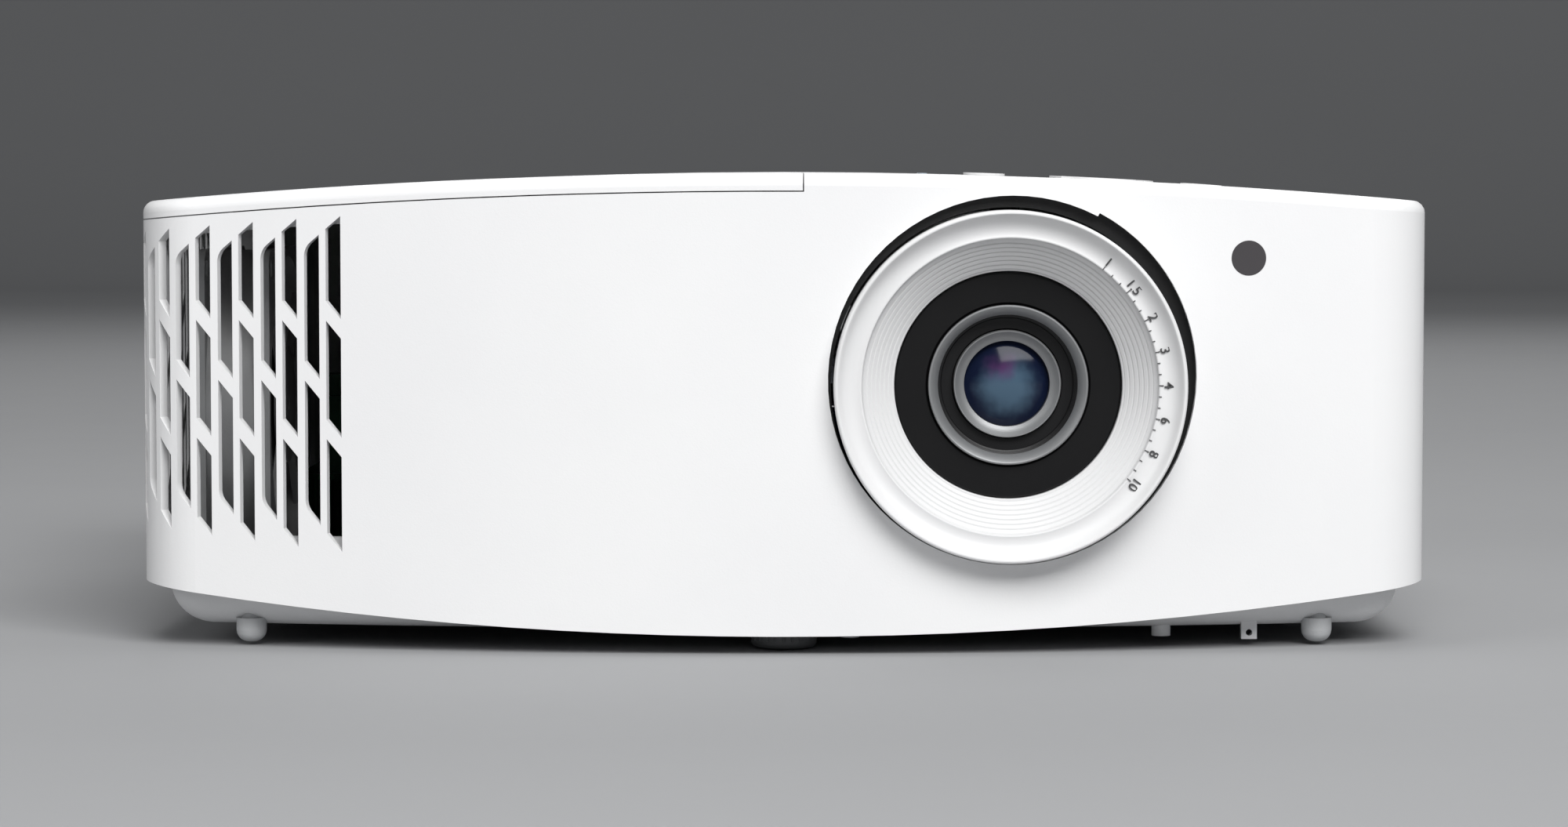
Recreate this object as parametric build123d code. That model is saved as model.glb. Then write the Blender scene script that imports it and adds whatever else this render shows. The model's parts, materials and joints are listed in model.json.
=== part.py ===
"""Home projector: a white moulded case with a side lens, a lamp bay, an optical engine and its fans.

Row frame in millimetres: +X to the right seen from the front, +Y to the back, +Z up.
The origin lies on the table, under the middle of the bounding box.
"""
import math
import os

from build123d import *

# ---------------------------------------------------------------- driving dimensions
WIDTH = 315.0            # over the case sides
BACK_Y = 135.0           # rear face of the case
FACE_Y = -129.5          # front face of the case on the centre line
TOP_Z = 115.4            # highest point of the crowned top
LOW_Z = 4.3              # lowest point of the front's curved lower edge
FRONT_RADIUS = 700.0     # plan radius of the bowed front
TOP_RADIUS = 1747.0      # radius of the crowned top
LOW_RADIUS = 1127.0      # radius of the curved lower edge
CORNER_FRONT = 18.0
CORNER_REAR = 12.0
TOP_ROUND = 3.0
WALL = 2.5
GAP = 0.3                # seam between neighbouring case parts
HAIR = 0.05              # clearance of parts that are fixed face to face

LENS_X, LENS_Z = 54.0, 64.4
SEAM_X = 4.5             # right edge of the lamp cover
LAMP_BACK_Y = 62.0       # rear edge of the lamp cover
COVER_SKIRT = 4.2        # how far the lamp cover turns down over the walls

BASE_Z = 4.6             # underside of the base tray
BASE_INSET = 6.0
BASE_ROUND = 10.5
BASE_TOP = 27.0

HALF = WIDTH / 2
SAG = FRONT_RADIUS - math.sqrt(FRONT_RADIUS**2 - HALF**2)


# ---------------------------------------------------------------- helpers
def box(x, y, z):
    """A box from three (low, high) pairs."""
    size = [b - a for a, b in (x, y, z)]
    mid = [(a + b) / 2 for a, b in (x, y, z)]
    return Pos(*mid) * Box(*size)


def cyl_z(x, y, z, r):
    """A vertical cylinder between the two heights in z."""
    return Pos(x, y, (z[0] + z[1]) / 2) * Cylinder(r, z[1] - z[0])


def cyl_y(x, z, y, r):
    """A cylinder along Y between the two places in y."""
    return Pos(x, (y[0] + y[1]) / 2, z) * Rot(90, 0, 0) * Cylinder(r, y[1] - y[0])


def cyl_x(y, z, x, r):
    """A cylinder along X between the two places in x."""
    return Pos((x[0] + x[1]) / 2, y, z) * Rot(0, 90, 0) * Cylinder(r, x[1] - x[0])


def tube_y(x, z, y, r_out, r_in):
    return cyl_y(x, z, y, r_out) - cyl_y(x, z, (y[0] - 1, y[1] + 1), r_in)


def tube_z(x, y, z, r_out, r_in):
    return cyl_z(x, y, z, r_out) - cyl_z(x, y, (z[0] - 1, z[1] + 1), r_in)


def turned_y(points, x=LENS_X, z=LENS_Z):
    """Turns a closed outline of (y, radius) points about the axis through x, z along Y."""
    face = make_face(Polyline(*[(r, y) for y, r in points], close=True))
    return Pos(x, 0, z) * revolve(face, Axis.Y, 360)


def round_plan(x, y, r):
    """A rectangle with rounded corners from two (low, high) pairs."""
    middle = Pos((x[0] + x[1]) / 2, (y[0] + y[1]) / 2)
    return middle * RectangleRounded(x[1] - x[0], y[1] - y[0], r)


def round_box(x, y, z, r):
    return extrude(Pos(0, 0, z[0]) * round_plan(x, y, r), z[1] - z[0])


def fused(*shapes):
    """One shape from several, as a compound when they stay apart."""
    whole = shapes[0]
    for shape in shapes[1:]:
        whole = whole + shape
    return whole


def top_z(x):
    return TOP_Z - (TOP_RADIUS - math.sqrt(TOP_RADIUS**2 - x * x))


def low_z(x):
    return LOW_Z + (LOW_RADIUS - math.sqrt(LOW_RADIUS**2 - x * x))


def face_y(x):
    return FACE_Y + (FRONT_RADIUS - math.sqrt(FRONT_RADIUS**2 - x * x))


# ---------------------------------------------------------------- case envelope
def case_plan(inset=0.0):
    """The bowed-front outline of the case, seen from above."""
    front = ThreePointArc((-HALF, FACE_Y + SAG), (0, FACE_Y), (HALF, FACE_Y + SAG))
    rest = Polyline(
        (HALF, FACE_Y + SAG), (HALF, BACK_Y), (-HALF, BACK_Y), (-HALF, FACE_Y + SAG)
    )
    plan = make_face([*front.edges(), *rest.edges()])
    ends = plan.vertices().sort_by(Axis.Y)
    plan = fillet(ends[:2], CORNER_FRONT)
    plan = fillet([v for v in plan.vertices() if v.Y > BACK_Y - 1], CORNER_REAR)
    return offset(plan, amount=-inset) if inset else plan


def crown(drop=0.0, low=LOW_Z):
    """Everything between the curved lower edge and the crowned top, lowered by drop."""
    x = HALF + 40
    top = TOP_Z - drop
    side_top, side_low = top - (TOP_Z - top_z(x)), low + (low_z(x) - LOW_Z)
    edges = [
        *ThreePointArc((-x, side_top), (0, top), (x, side_top)).edges(),
        *ThreePointArc((-x, side_low), (0, low), (x, side_low)).edges(),
        *Line((-x, side_low), (-x, side_top)).edges(),
        *Line((x, side_low), (x, side_top)).edges(),
    ]
    return extrude(Plane.XZ * make_face(edges), 2 * BACK_Y, both=True)


def case_block(inset=0.0, drop=0.0, low=LOW_Z):
    return extrude(Pos(0, 0, -20) * case_plan(inset), 160) & crown(drop, low)


def slab(upper, lower):
    """A curved layer parallel to the top, between two depths under it."""
    return crown(upper, -60) - crown(lower, -80)


def outline_frame(s, side):
    """Point and outward normal on the case outline, s mm from the front's middle.

    side is -1 towards the left and +1 towards the right.
    """
    inner = FRONT_RADIUS - CORNER_FRONT
    centre_y = FACE_Y + FRONT_RADIUS
    corner_x = HALF - CORNER_FRONT
    corner_y = centre_y - math.sqrt(inner**2 - corner_x**2)
    bend = math.asin(corner_x / inner)
    front_end = FRONT_RADIUS * bend
    corner_end = front_end + CORNER_FRONT * (math.pi / 2 - bend)
    if s <= front_end:
        a = s / FRONT_RADIUS
        x, y = FRONT_RADIUS * math.sin(a), centre_y - FRONT_RADIUS * math.cos(a)
    elif s <= corner_end:
        a = bend + (s - front_end) / CORNER_FRONT
        x = corner_x + CORNER_FRONT * math.sin(a)
        y = corner_y - CORNER_FRONT * math.cos(a)
    else:
        a = math.pi / 2
        x, y = HALF, corner_y + s - corner_end
    return (side * x, y), (side * math.sin(a), -math.cos(a))


# ---------------------------------------------------------------- vent slots
SLOT_W = 3.7             # width of one slot
PAIR_PITCH = 10.9        # from one pair of slots to the next
NARROW_START = 5.35      # where the shorter slot of a pair starts
TOP_SLOPE, LOW_SLOPE = 0.84, 1.19   # rise of a pair's slanted ends per mm
BAR_SLOPE = 1.18         # fall of the cross bars per mm
BAR_HEIGHT = 4.7
UNDER_TOP = 7.1          # top of a pair under the crown
OVER_LOW = 14.6          # bottom of a pair over the lower edge
LONG_BARS = (80.2, 51.6)     # upper corner of each cross bar in a long slot
SHORT_BARS = (65.7,)         # and in a short slot
VENT_FIRST = 107.1       # along the outline, from the middle of the front
INTAKE_PAIRS = 16
EXHAUST_FIRST = VENT_FIRST + 8 * PAIR_PITCH
EXHAUST_PAIRS = 11
SLOT_ROUND = 4.5


def slot_cells(start, high, low, bars, rounded):
    """Faces of one slot's cells: (distance along the outline, height) outlines."""
    far = start + SLOT_W
    edges = [(high, high - TOP_SLOPE * SLOT_W)]
    for bar in bars:
        drop = BAR_SLOPE * SLOT_W
        edges += [(bar - BAR_HEIGHT, bar - BAR_HEIGHT + drop)]
        edges.insert(-1, (bar, bar + drop))
    edges.append((low, low + LOW_SLOPE * SLOT_W))
    cells = []
    for upper, lower in zip(edges[::2], edges[1::2]):
        outline = [(start, upper[0]), (far, upper[1]), (far, lower[1]), (start, lower[0])]
        face = make_face(Polyline(*outline, close=True))
        if rounded and upper is edges[0]:
            face = fillet(face.vertices().sort_by(Axis.Y)[-2:].sort_by(Axis.X)[-1:], SLOT_ROUND)
        if rounded and lower is edges[-1]:
            face = fillet(face.vertices().sort_by(Axis.Y)[:2].sort_by(Axis.X)[-1:], SLOT_ROUND)
        cells.append(face)
    return cells


def vent_cutters(side, first, pairs):
    """Prisms that cut the slanted slot pattern through the wall."""
    cutters = []
    for i in range(pairs):
        begin = first + i * PAIR_PITCH
        (x, _), _ = outline_frame(begin, side)
        high, low = top_z(x) - UNDER_TOP, low_z(x) + OVER_LOW
        inset = NARROW_START
        rows = (
            (0.0, high, low, LONG_BARS, False),
            (inset, high - TOP_SLOPE * inset, low + LOW_SLOPE * inset, SHORT_BARS, True),
        )
        for start, top, bottom, bars, rounded in rows:
            middle = start + SLOT_W / 2
            (px, py), (nx, ny) = outline_frame(begin + middle, side)
            along = (side * -ny, side * nx, 0)
            plane = Plane(origin=(px, py, 0), x_dir=along, z_dir=(nx, ny, 0))
            if plane.y_dir.Z < 0:
                plane = Plane(origin=(px, py, 0), x_dir=along, z_dir=(-nx, -ny, 0))
            for cell in slot_cells(start, top, bottom, bars, rounded):
                cutters.append(extrude(plane * Pos(-middle, 0) * cell, 5, both=True))
    return cutters


# ---------------------------------------------------------------- case parts
LENS_HOLE_R = 44.3
LENS_HOLE_OFFSET = (0.8, 1.3)     # the hole sits up and right of the ring
LOBE_SHIFT = (0.24, 0.89)         # wider stretch: the same circle, moved up
LOBE_ANGLES = (-30.0, 62.6)       # from +X, anticlockwise seen from the front
IR_X, IR_Z, IR_R = 111.9, 94.9, 4.2
KEY_X, KEY_Y = 92.0, 88.0         # middle of the arrow keys
ZOOM_SLOT = ((LENS_X - 24, LENS_X + 24), (-109.0, -93.0))
DECK_TOP, DECK_LOW = 7.0, 9.0     # deck under the lamp cover, depths under the crown
LAMP_BAY = ((-104.0, -14.0), (-34.0, 46.0))   # opening in the deck over the lamp module
COVER_SCREW = (-76.0, 54.0)
PANEL_X, PANEL_Z = (-138.0, 138.0), (19.0, 92.0)   # connector panel
SHELL_POSTS = ((-146.0, 20.0), (-146.0, 121.0), (146.0, 121.0), (146.0, -80.0), (-20.0, -116.0))
POST_R, SCREW_R = 4.0, 1.5
FRONT_FOOT = (0.0, -112.0)
REAR_FEET = ((-118.0, 103.0), (118.0, 103.0))
BUMPERS = ((-130.7, -105.5), (130.7, -105.5))
BUMPER_R = 3.7
STUDS = ((16.1, -111.0), (92.4, -107.0))
STUD_R, STUD_Z = 2.3, 2.2
EYELET = (113.9, -107.0)
CEILING_X, CEILING_Y = 150.0, 110.0    # spacing of the ceiling mount inserts
CEILING_MID_Y = 8.0
INSERT_R, INSERT_OUT_R, INSERT_TOP = 2.0, 3.4, 15.0
FLOOR_TOP = BASE_Z + WALL
FOOT_BORE_R = 4.05
FOOT_BOSS_TOP = 21.0
LENS_CLEAR_R = 48.3                # scallop in the tray under the lens


def cover_region(gap=0.0):
    """The space the lamp cover takes, grown by a gap."""
    region = box((-200, SEAM_X + gap), (-200, LAMP_BACK_Y + gap), (60, 140))
    return region & slab(-20, COVER_SKIRT + gap)


def lens_hole():
    hole_x, hole_z = LENS_X + LENS_HOLE_OFFSET[0], LENS_Z + LENS_HOLE_OFFSET[1]
    y = (FACE_Y - 8, FACE_Y + 16)
    low, high = (math.radians(a) for a in LOBE_ANGLES)
    reach = 2 * LENS_HOLE_R
    corners = [(hole_x, hole_z)] + [
        (hole_x + reach * math.cos(a), hole_z + reach * math.sin(a)) for a in (low, high)
    ]
    wedge = Plane.XZ * make_face(Polyline(*corners, close=True))
    wedge = extrude(wedge, 2 * BACK_Y, both=True)
    lobe = cyl_y(hole_x + LOBE_SHIFT[0], hole_z + LOBE_SHIFT[1], y, LENS_HOLE_R)
    return cyl_y(hole_x, hole_z, y, LENS_HOLE_R) + (lobe & wedge)


def key_outlines(grow=0.0):
    """Name and face of each key on the top, grown all round."""
    inner, outer, half_angle = 8.4 - grow, 15.0 + grow, 36.0
    keys = {
        "enter": Pos(KEY_X, KEY_Y) * Circle(6.6 + grow),
        "power": Pos(KEY_X - 34, KEY_Y) * Circle(6.0 + grow),
        "menu": Pos(KEY_X + 29, KEY_Y) * RectangleRounded(12 + 2 * grow, 7 + 2 * grow, 3.4 + grow),
    }
    for i, name in enumerate(("right", "up", "left", "down")):
        reach = 3 * outer
        angles = [math.radians(90 * i + s * half_angle) for s in (-1, 1)]
        points = [(reach * math.cos(a), reach * math.sin(a)) for a in angles]
        slide = (-1.5 * grow * math.cos(math.pi / 2 * i), -1.5 * grow * math.sin(math.pi / 2 * i))
        wedge = Pos(*slide) * make_face(Polyline((0, 0), *points, close=True))
        keys[name] = Pos(KEY_X, KEY_Y) * ((Circle(outer) - Circle(inner)) & wedge)
    return keys


KEY_GAP = 0.25
KEYPAD_X, KEYPAD_Y, KEYPAD_Z = (35.0, 132.0), (68.0, 108.0), (97.5, 99.0)
KEYPAD_STAKES = tuple(
    (x, y) for x in (KEYPAD_X[0] + 4, KEYPAD_X[1] - 4) for y in (KEYPAD_Y[0] + 4, KEYPAD_Y[1] - 4)
)
STAKE_R = 1.2


def upper_shell():
    block = case_block()
    top = block.faces().sort_by(Axis.Z)[-1]
    block = fillet(top.edges(), TOP_ROUND)
    inside = case_block(WALL, WALL, LOW_Z - 30)
    shell = block - inside
    deck = (slab(DECK_TOP, DECK_LOW) & case_block(WALL - 0.5)) & box(
        (-200, SEAM_X + GAP + 2), (-200, LAMP_BACK_Y + GAP + 2), (60, 140)
    )
    deck -= box(*LAMP_BAY, (60, 140))
    riser = slab(1, DECK_LOW) & case_block(1.0) & (
        box((SEAM_X + GAP, SEAM_X + GAP + 2), (-200, LAMP_BACK_Y + GAP + 2), (60, 140))
        + box((-200, SEAM_X + GAP + 2), (LAMP_BACK_Y + GAP, LAMP_BACK_Y + GAP + 2), (60, 140))
    )
    shell = shell + deck + riser
    posts = [cyl_z(x, y, (30, top_z(x) - WALL + 0.5), POST_R) for x, y in SHELL_POSTS]
    shell = fused(shell, *[p - slab(-50, DECK_LOW - 0.5) if p.center().X < 0 and p.center().Y < 60
                           else p for p in posts])
    shell += [
        cyl_z(x, y, (KEYPAD_Z[1] + HAIR, top_z(x) - WALL + 0.5), 2.5)
        + cyl_z(x, y, (KEYPAD_Z[0] - 0.8, KEYPAD_Z[1] + 1), STAKE_R)
        for x, y in KEYPAD_STAKES
    ]
    cuts = [lens_hole(), cyl_y(IR_X, IR_Z, (FACE_Y - 5, FACE_Y + 25), IR_R + HAIR)]
    cuts.append(round_box(*ZOOM_SLOT, (100, 130), 4))
    cuts.append(box(PANEL_X, (BACK_Y - 5, BACK_Y + 5), (0, PANEL_Z[1])))
    cuts += [extrude(Pos(0, 0, 100) * key, 30) for key in key_outlines(KEY_GAP).values()]
    cuts += [cyl_z(*COVER_SCREW, (70, 130), SCREW_R)]
    cuts += [cyl_z(KEY_X - 52, KEY_Y + dy, (100, 130), 1.3) for dy in LIGHT_STEPS]
    cuts += [cyl_z(x, y, (25, 44), SCREW_R) for x, y in SHELL_POSTS]
    shell = shell - cover_region(GAP) - cuts
    shell = shell - vent_cutters(-1, VENT_FIRST, INTAKE_PAIRS)
    return shell - vent_cutters(1, EXHAUST_FIRST, EXHAUST_PAIRS)


LIGHT_STEPS = (-7.0, 0.0, 7.0)   # status lights beside the keys


def lamp_cover():
    block = case_block()
    top = block.faces().sort_by(Axis.Z)[-1]
    block = fillet(top.edges(), TOP_ROUND)
    cover = (block - case_block(WALL, WALL)) & cover_region()
    x, y = COVER_SCREW
    boss = cyl_z(x, y, (top_z(x) - 6.6, top_z(x) - 1.5), 4.4)
    ribs = [
        box((rx, rx + 1.5), (-108, 50), (80, 130)) & slab(WALL - 0.5, 5.5)
        for rx in (-120.0, -90.0, -60.0, -30.0, -5.0)
    ]
    cover = fused(cover, boss, *ribs)
    cover -= cyl_z(x, y, (top_z(x) - 3.0, 140), 3.4)
    return cover - cyl_z(x, y, (60, 140), 1.7)


def cover_screw():
    """Captive screw of the lamp cover: head, shank and a cross recess."""
    x, y = COVER_SCREW
    head_top = top_z(x) - 0.9
    screw = cyl_z(x, y, (head_top - 1.9, head_top), 2.9) + cyl_z(
        x, y, (head_top - 12, head_top - 1.9), 1.4
    )
    cross = box((x - 1.9, x + 1.9), (y - 0.4, y + 0.4), (head_top - 1, head_top + 1))
    cross += box((x - 0.4, x + 0.4), (y - 1.9, y + 1.9), (head_top - 1, head_top + 1))
    return screw - cross


def base_tray():
    outer = extrude(Pos(0, 0, BASE_Z) * case_plan(BASE_INSET), BASE_TOP - BASE_Z)
    outer = fillet(outer.faces().sort_by(Axis.Z)[0].edges(), BASE_ROUND)
    inner = extrude(Pos(0, 0, BASE_Z + WALL) * case_plan(BASE_INSET + WALL), BASE_TOP)
    inner = fillet(inner.faces().sort_by(Axis.Z)[0].edges(), BASE_ROUND - WALL)
    tray = outer - inner
    adds = [cyl_z(x, y, (BASE_Z + 1, 29.7), POST_R) for x, y in SHELL_POSTS]
    for x, y in (FRONT_FOOT, *REAR_FEET):
        adds.append(cyl_z(x, y, (BASE_Z, FOOT_BOSS_TOP), 7.5))
    for x in (-CEILING_X / 2, CEILING_X / 2):
        for y in (-CEILING_Y / 2, CEILING_Y / 2):
            adds.append(cyl_z(x, CEILING_MID_Y + y, (BASE_Z, INSERT_TOP), 5.5))
    adds += [cyl_z(x, y, (STUD_Z, BASE_Z + 5), STUD_R) for x, y in STUDS]
    ex, ey = EYELET
    adds.append(box((ex - 1.9, ex + 1.9), (ey - 1.3, ey + 1.3), (1.4, 9)))
    tray = fused(tray, *adds)
    cuts = [cyl_z(x, y, (-1, 40), FOOT_BORE_R) for x, y in (FRONT_FOOT, *REAR_FEET)]
    for x in (-CEILING_X / 2, CEILING_X / 2):
        for y in (-CEILING_Y / 2, CEILING_Y / 2):
            cuts.append(cyl_z(x, CEILING_MID_Y + y, (0, 20), INSERT_OUT_R))
    cuts.append(cyl_y(LENS_X + 1, LENS_Z + 1, (-140, -60), LENS_CLEAR_R))
    cuts += [cyl_z(x, y, (0, 40), SCREW_R + 0.2) for x, y in SHELL_POSTS]
    cuts += [cyl_z(x, y, (0, 8.6), 3.2) for x, y in SHELL_POSTS]
    cuts += [cyl_z(x, y, (0, 40), BUMPER_R - 1.2) for x, y in BUMPERS]
    cuts += [cyl_z(x, y, (0, 6.5), BUMPER_R + HAIR) for x, y in BUMPERS]
    cuts.append(cyl_y(ex, 3.0, (ey - 5, ey + 5), 0.8))
    cuts += [
        round_box((x, x + 3), (-36, 14), (0, 20), 1.4)
        for x in [-20 + 7.0 * i for i in range(-2, 8)]
    ]
    return tray - cuts


# ---------------------------------------------------------------- lens
RING_BORE = 27.4          # focus ring and zoom ring turn on the lens tube
TUBE_R, TUBE_BORE = 27.35, 19.5
TUBE_FRONT, TUBE_BACK = -121.0, -60.0
BARREL_R = 19.45          # front group and zoom cell slide in the tube
BARREL_FRONT, BARREL_BACK = -122.3, -92.0
TRIM_R, CELL_R, GLASS_R = 16.9, 13.1, 10.3
NOSE_R, FLANGE_R = 24.0, 36.0
RING_LAND = 35.5          # where the smooth lip ends and the grooved cone starts
GROOVES = 8
ZOOM_Y = (-107.0, -96.0)
LEVER_TOP = 113.4


def focus_ring():
    cone_front, cone_back = (-130.4, 35.0), (-122.6, 27.7)
    step = [(b - a) / GROOVES for a, b in zip(cone_front, cone_back)]
    grooves = []
    for i in range(GROOVES):
        y, r = cone_front[0] + i * step[0], cone_front[1] + i * step[1]
        grooves += [(y, r), (y + 0.86 * step[0], r + 0.62 * step[1])]
    outline = [
        (-112, 42.2), (-112, 40.0), (-128.3, 40.0), (-128.9, 36.4), (-127.6, 34.6),
        (-120.4, 29.6), (-112, 29.6), (-112, RING_BORE), (cone_back[0], RING_BORE),
        *reversed(grooves),
    ]
    chain = Polyline(*[(r, y) for y, r in outline], (RING_LAND, -131.9))
    land = Line((RING_LAND, -131.9), (37.2, -131.7))
    gutter = Spline(
        (37.2, -131.7), (39.6, -132.5), (41.0, -134.6), tangents=[(1, 0.06), (0.35, -1)]
    )
    lip = ThreePointArc((41.0, -134.6), (41.55, -135.0), (42.2, -134.3))
    skirt = Line((42.2, -134.3), (42.2, -112))
    edges = [*chain.edges(), *land.edges(), *gutter.edges(), *lip.edges(), *skirt.edges()]
    return Pos(LENS_X, 0, LENS_Z) * revolve(make_face(edges), Axis.Y, 360)


def lens_liner():
    """Black ring behind the case's lens hole, shaped to the bowed wall."""
    hole_x, hole_z = LENS_X + LENS_HOLE_OFFSET[0], LENS_Z + LENS_HOLE_OFFSET[1]
    ring = cyl_y(hole_x, hole_z, (-130, -114), 47.6)
    ring -= cyl_y(LENS_X, LENS_Z, (-131, -113), 42.8)
    return ring & case_block(WALL + HAIR, WALL + HAIR)


def lens_tube():
    """Fixed tube: black front face, the bearing of both rings, flange and rear nose."""
    tube = turned_y([
        (TUBE_FRONT, TUBE_BORE + 0.4), (TUBE_FRONT + 0.4, TUBE_BORE), (-62, TUBE_BORE),
        (-62, 15.0), (-46, 15.0), (-46, NOSE_R), (TUBE_BACK, NOSE_R), (TUBE_BACK, FLANGE_R),
        (-64.5, FLANGE_R), (-64.5, TUBE_R), (TUBE_FRONT + 0.4, TUBE_R),
        (TUBE_FRONT, TUBE_R - 0.4),
    ])
    for a in range(45, 360, 90):
        hx = LENS_X + 31.5 * math.cos(math.radians(a))
        hz = LENS_Z + 31.5 * math.sin(math.radians(a))
        tube -= cyl_y(hx, hz, (-66, -59), 1.7)
    return tube


def lens_screws():
    screws = []
    for a in range(45, 360, 90):
        hx = LENS_X + 31.5 * math.cos(math.radians(a))
        hz = LENS_Z + 31.5 * math.sin(math.radians(a))
        screws.append(pan_screw((hx, -64.5, hz), Rot(90, 0, 0), 1.45, 10))
    return fused(*screws)


def pan_screw(place, turn, r, length):
    """A cross-recess screw whose head sits on place and whose shank runs the other way."""
    head = fillet(Cylinder(2 * r, 1.3 * r).edges().group_by(Axis.Z)[-1], 0.5 * r)
    screw = Pos(0, 0, 0.65 * r) * head + Pos(0, 0, -length / 2) * Cylinder(r, length)
    for size in ((2.4 * r, 0.5 * r), (0.5 * r, 2.4 * r)):
        screw -= Pos(0, 0, 1.3 * r) * Box(*size, 1.3 * r)
    return Pos(*place) * turn * screw


def front_barrel():
    """Black barrel of the front lens group, with a stepped throat round the glass."""
    return turned_y([
        (-121.8, BARREL_R), (-121.8, 18.6), (-119.4, TRIM_R), (-116.0, 16.5),
        (-115.4, CELL_R + HAIR), (-109.0, CELL_R + HAIR), (-109.0, 9.6), (-104, 9.6),
        (-104, 16.5), (BARREL_BACK, 16.5), (BARREL_BACK, BARREL_R),
    ])


def barrel_trim():
    """Satin ring on the barrel's front edge, facing the axis."""
    return turned_y([
        (-121.8, 19.3), (-122.3, 19.0), (-122.3, 18.7), (-119.9, 16.75), (-119.4, TRIM_R),
        (-121.8, 18.6),
    ])


def lens_cell():
    """Satin retaining ring of the front glass."""
    return turned_y([
        (-117.2, CELL_R), (-117.4, 12.7), (-115.6, GLASS_R + 0.1), (-110.4, GLASS_R + 0.1),
        (-110.4, 9.9), (-109.1, 9.9), (-109.1, CELL_R),
    ])


def front_glass():
    """Meniscus front element."""
    front, rim, back, edge = -116.2, -113.6, -112.0, -110.5
    front_sag, back_sag = rim - front, edge - back
    front_r = (GLASS_R**2 + front_sag**2) / (2 * front_sag)
    back_r = (GLASS_R**2 + back_sag**2) / (2 * back_sag)
    lens = cyl_y(LENS_X, LENS_Z, (front - 1, edge), GLASS_R)
    lens = lens & (Pos(LENS_X, front + front_r, LENS_Z) * Sphere(front_r))
    return lens - Pos(LENS_X, back + back_r, LENS_Z) * Sphere(back_r)


def double_convex(y, thick, r, bulge):
    """A lens element round the optical axis, from its middle plane."""
    ball_r = (r * r + bulge * bulge) / (2 * bulge)
    reach = ball_r - thick / 2 - bulge
    lens = cyl_y(LENS_X, LENS_Z, (y - thick - bulge, y + thick + bulge), r)
    for way in (-1, 1):
        lens = lens & (Pos(LENS_X, y + way * reach, LENS_Z) * Sphere(ball_r))
    return lens


def zoom_cell():
    return turned_y([(-84, BARREL_R), (-84, 14.1), (-74, 14.1), (-74, BARREL_R)])


def zoom_glass():
    return double_convex(-79, 3.0, 14.05, 2.2)


def rear_glass():
    return double_convex(-54, 3.0, 14.95, 2.0)


def zoom_ring():
    """Ring behind the focus ring with a lever up into the slot in the top."""
    y0, y1 = ZOOM_Y
    ring = tube_y(LENS_X, LENS_Z, ZOOM_Y, 33.0, RING_BORE)
    for i in range(36):
        a = math.radians(10 * i)
        place = (LENS_X + 33.1 * math.cos(a), 0, LENS_Z + 33.1 * math.sin(a))
        ring -= cyl_y(place[0], place[2], (y0 - 1, y1 + 1), 0.7)
    stem = box((LENS_X - 3.5, LENS_X + 3.5), (y0 + 2, y1 - 2), (LENS_Z + 31, LEVER_TOP - 2))
    tab = round_box((LENS_X - 5.5, LENS_X + 5.5), (y0, y1), (108.0, LEVER_TOP), 2.0)
    tab = fillet(tab.edges().group_by(Axis.Z)[-1], 0.9)
    for dx in (-2.4, 0.0, 2.4):
        tab -= box((LENS_X + dx - 0.4, LENS_X + dx + 0.4), (y0 - 1, y1 + 1), (LEVER_TOP - 0.6, 120))
    return fused(ring, stem, tab)


# ---------------------------------------------------------------- feet, studs and fasteners
FOOT_PAD_TOP = BASE_Z - GAP
FOOT_TRAVEL = 12.0


def foot_stem(x, y):
    """Threaded stem, drawn as a grooved rod, with a spigot that the pad turns on."""
    stem = cyl_z(x, y, (FOOT_PAD_TOP - 1.5, 26.0), FOOT_BORE_R - 0.05)
    for i in range(12):
        stem -= tube_z(x, y, (8.0 + 1.5 * i, 8.7 + 1.5 * i), 5.0, 3.6)
    return stem


def foot_pad(x, y, r):
    """Round pad with a grip edge that turns on the stem's end."""
    pad = cyl_z(x, y, (0, FOOT_PAD_TOP), r)
    pad = fillet(pad.edges().group_by(Axis.Z)[0], 1.4)
    for i in range(24):
        a = math.radians(15 * i)
        pad -= cyl_z(x + (r + 0.2) * math.cos(a), y + (r + 0.2) * math.sin(a), (1.9, 6), 0.45)
    return pad - cyl_z(x, y, (FOOT_PAD_TOP - 1.55, 10), FOOT_BORE_R)


def corner_bumpers():
    plugs = []
    for x, y in BUMPERS:
        dome = cyl_z(x, y, (0.6, 6.5), BUMPER_R)
        dome = fillet(dome.edges().group_by(Axis.Z)[0], BUMPER_R - 0.8)
        plugs.append(dome + cyl_z(x, y, (6, 12), BUMPER_R - 1.25))
    return fused(*plugs)


def mount_inserts():
    """Brass inserts for a ceiling bracket, flush with the tray."""
    inserts = []
    for x in (-CEILING_X / 2, CEILING_X / 2):
        for y in (-CEILING_Y / 2, CEILING_Y / 2):
            place = (x, CEILING_MID_Y + y, (BASE_Z, INSERT_TOP - 0.5))
            inserts.append(tube_z(*place, INSERT_OUT_R - HAIR, INSERT_R))
    return fused(*inserts)


def case_screws():
    return fused(*[
        pan_screw((x, y, 8.55), Rot(180, 0, 0), SCREW_R - HAIR, 28) for x, y in SHELL_POSTS
    ])


def ir_window():
    return cyl_y(IR_X, IR_Z, (FACE_Y - 5, -112.0), IR_R) & case_block()


# ---------------------------------------------------------------- optical engine
ENGINE_X, ENGINE_Y, ENGINE_Z = (24.0, 90.0), (-60.0, 24.0), (34.0, 96.0)
ENGINE_WALL = 3.0
LIGHT_Y, LIGHT_Z = 6.0, 62.0        # axis of the lamp and the light tunnel
WHEEL_X, WHEEL_Z = -8.0, 80.0
DMD_BOARD_Y = 24.0


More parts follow.
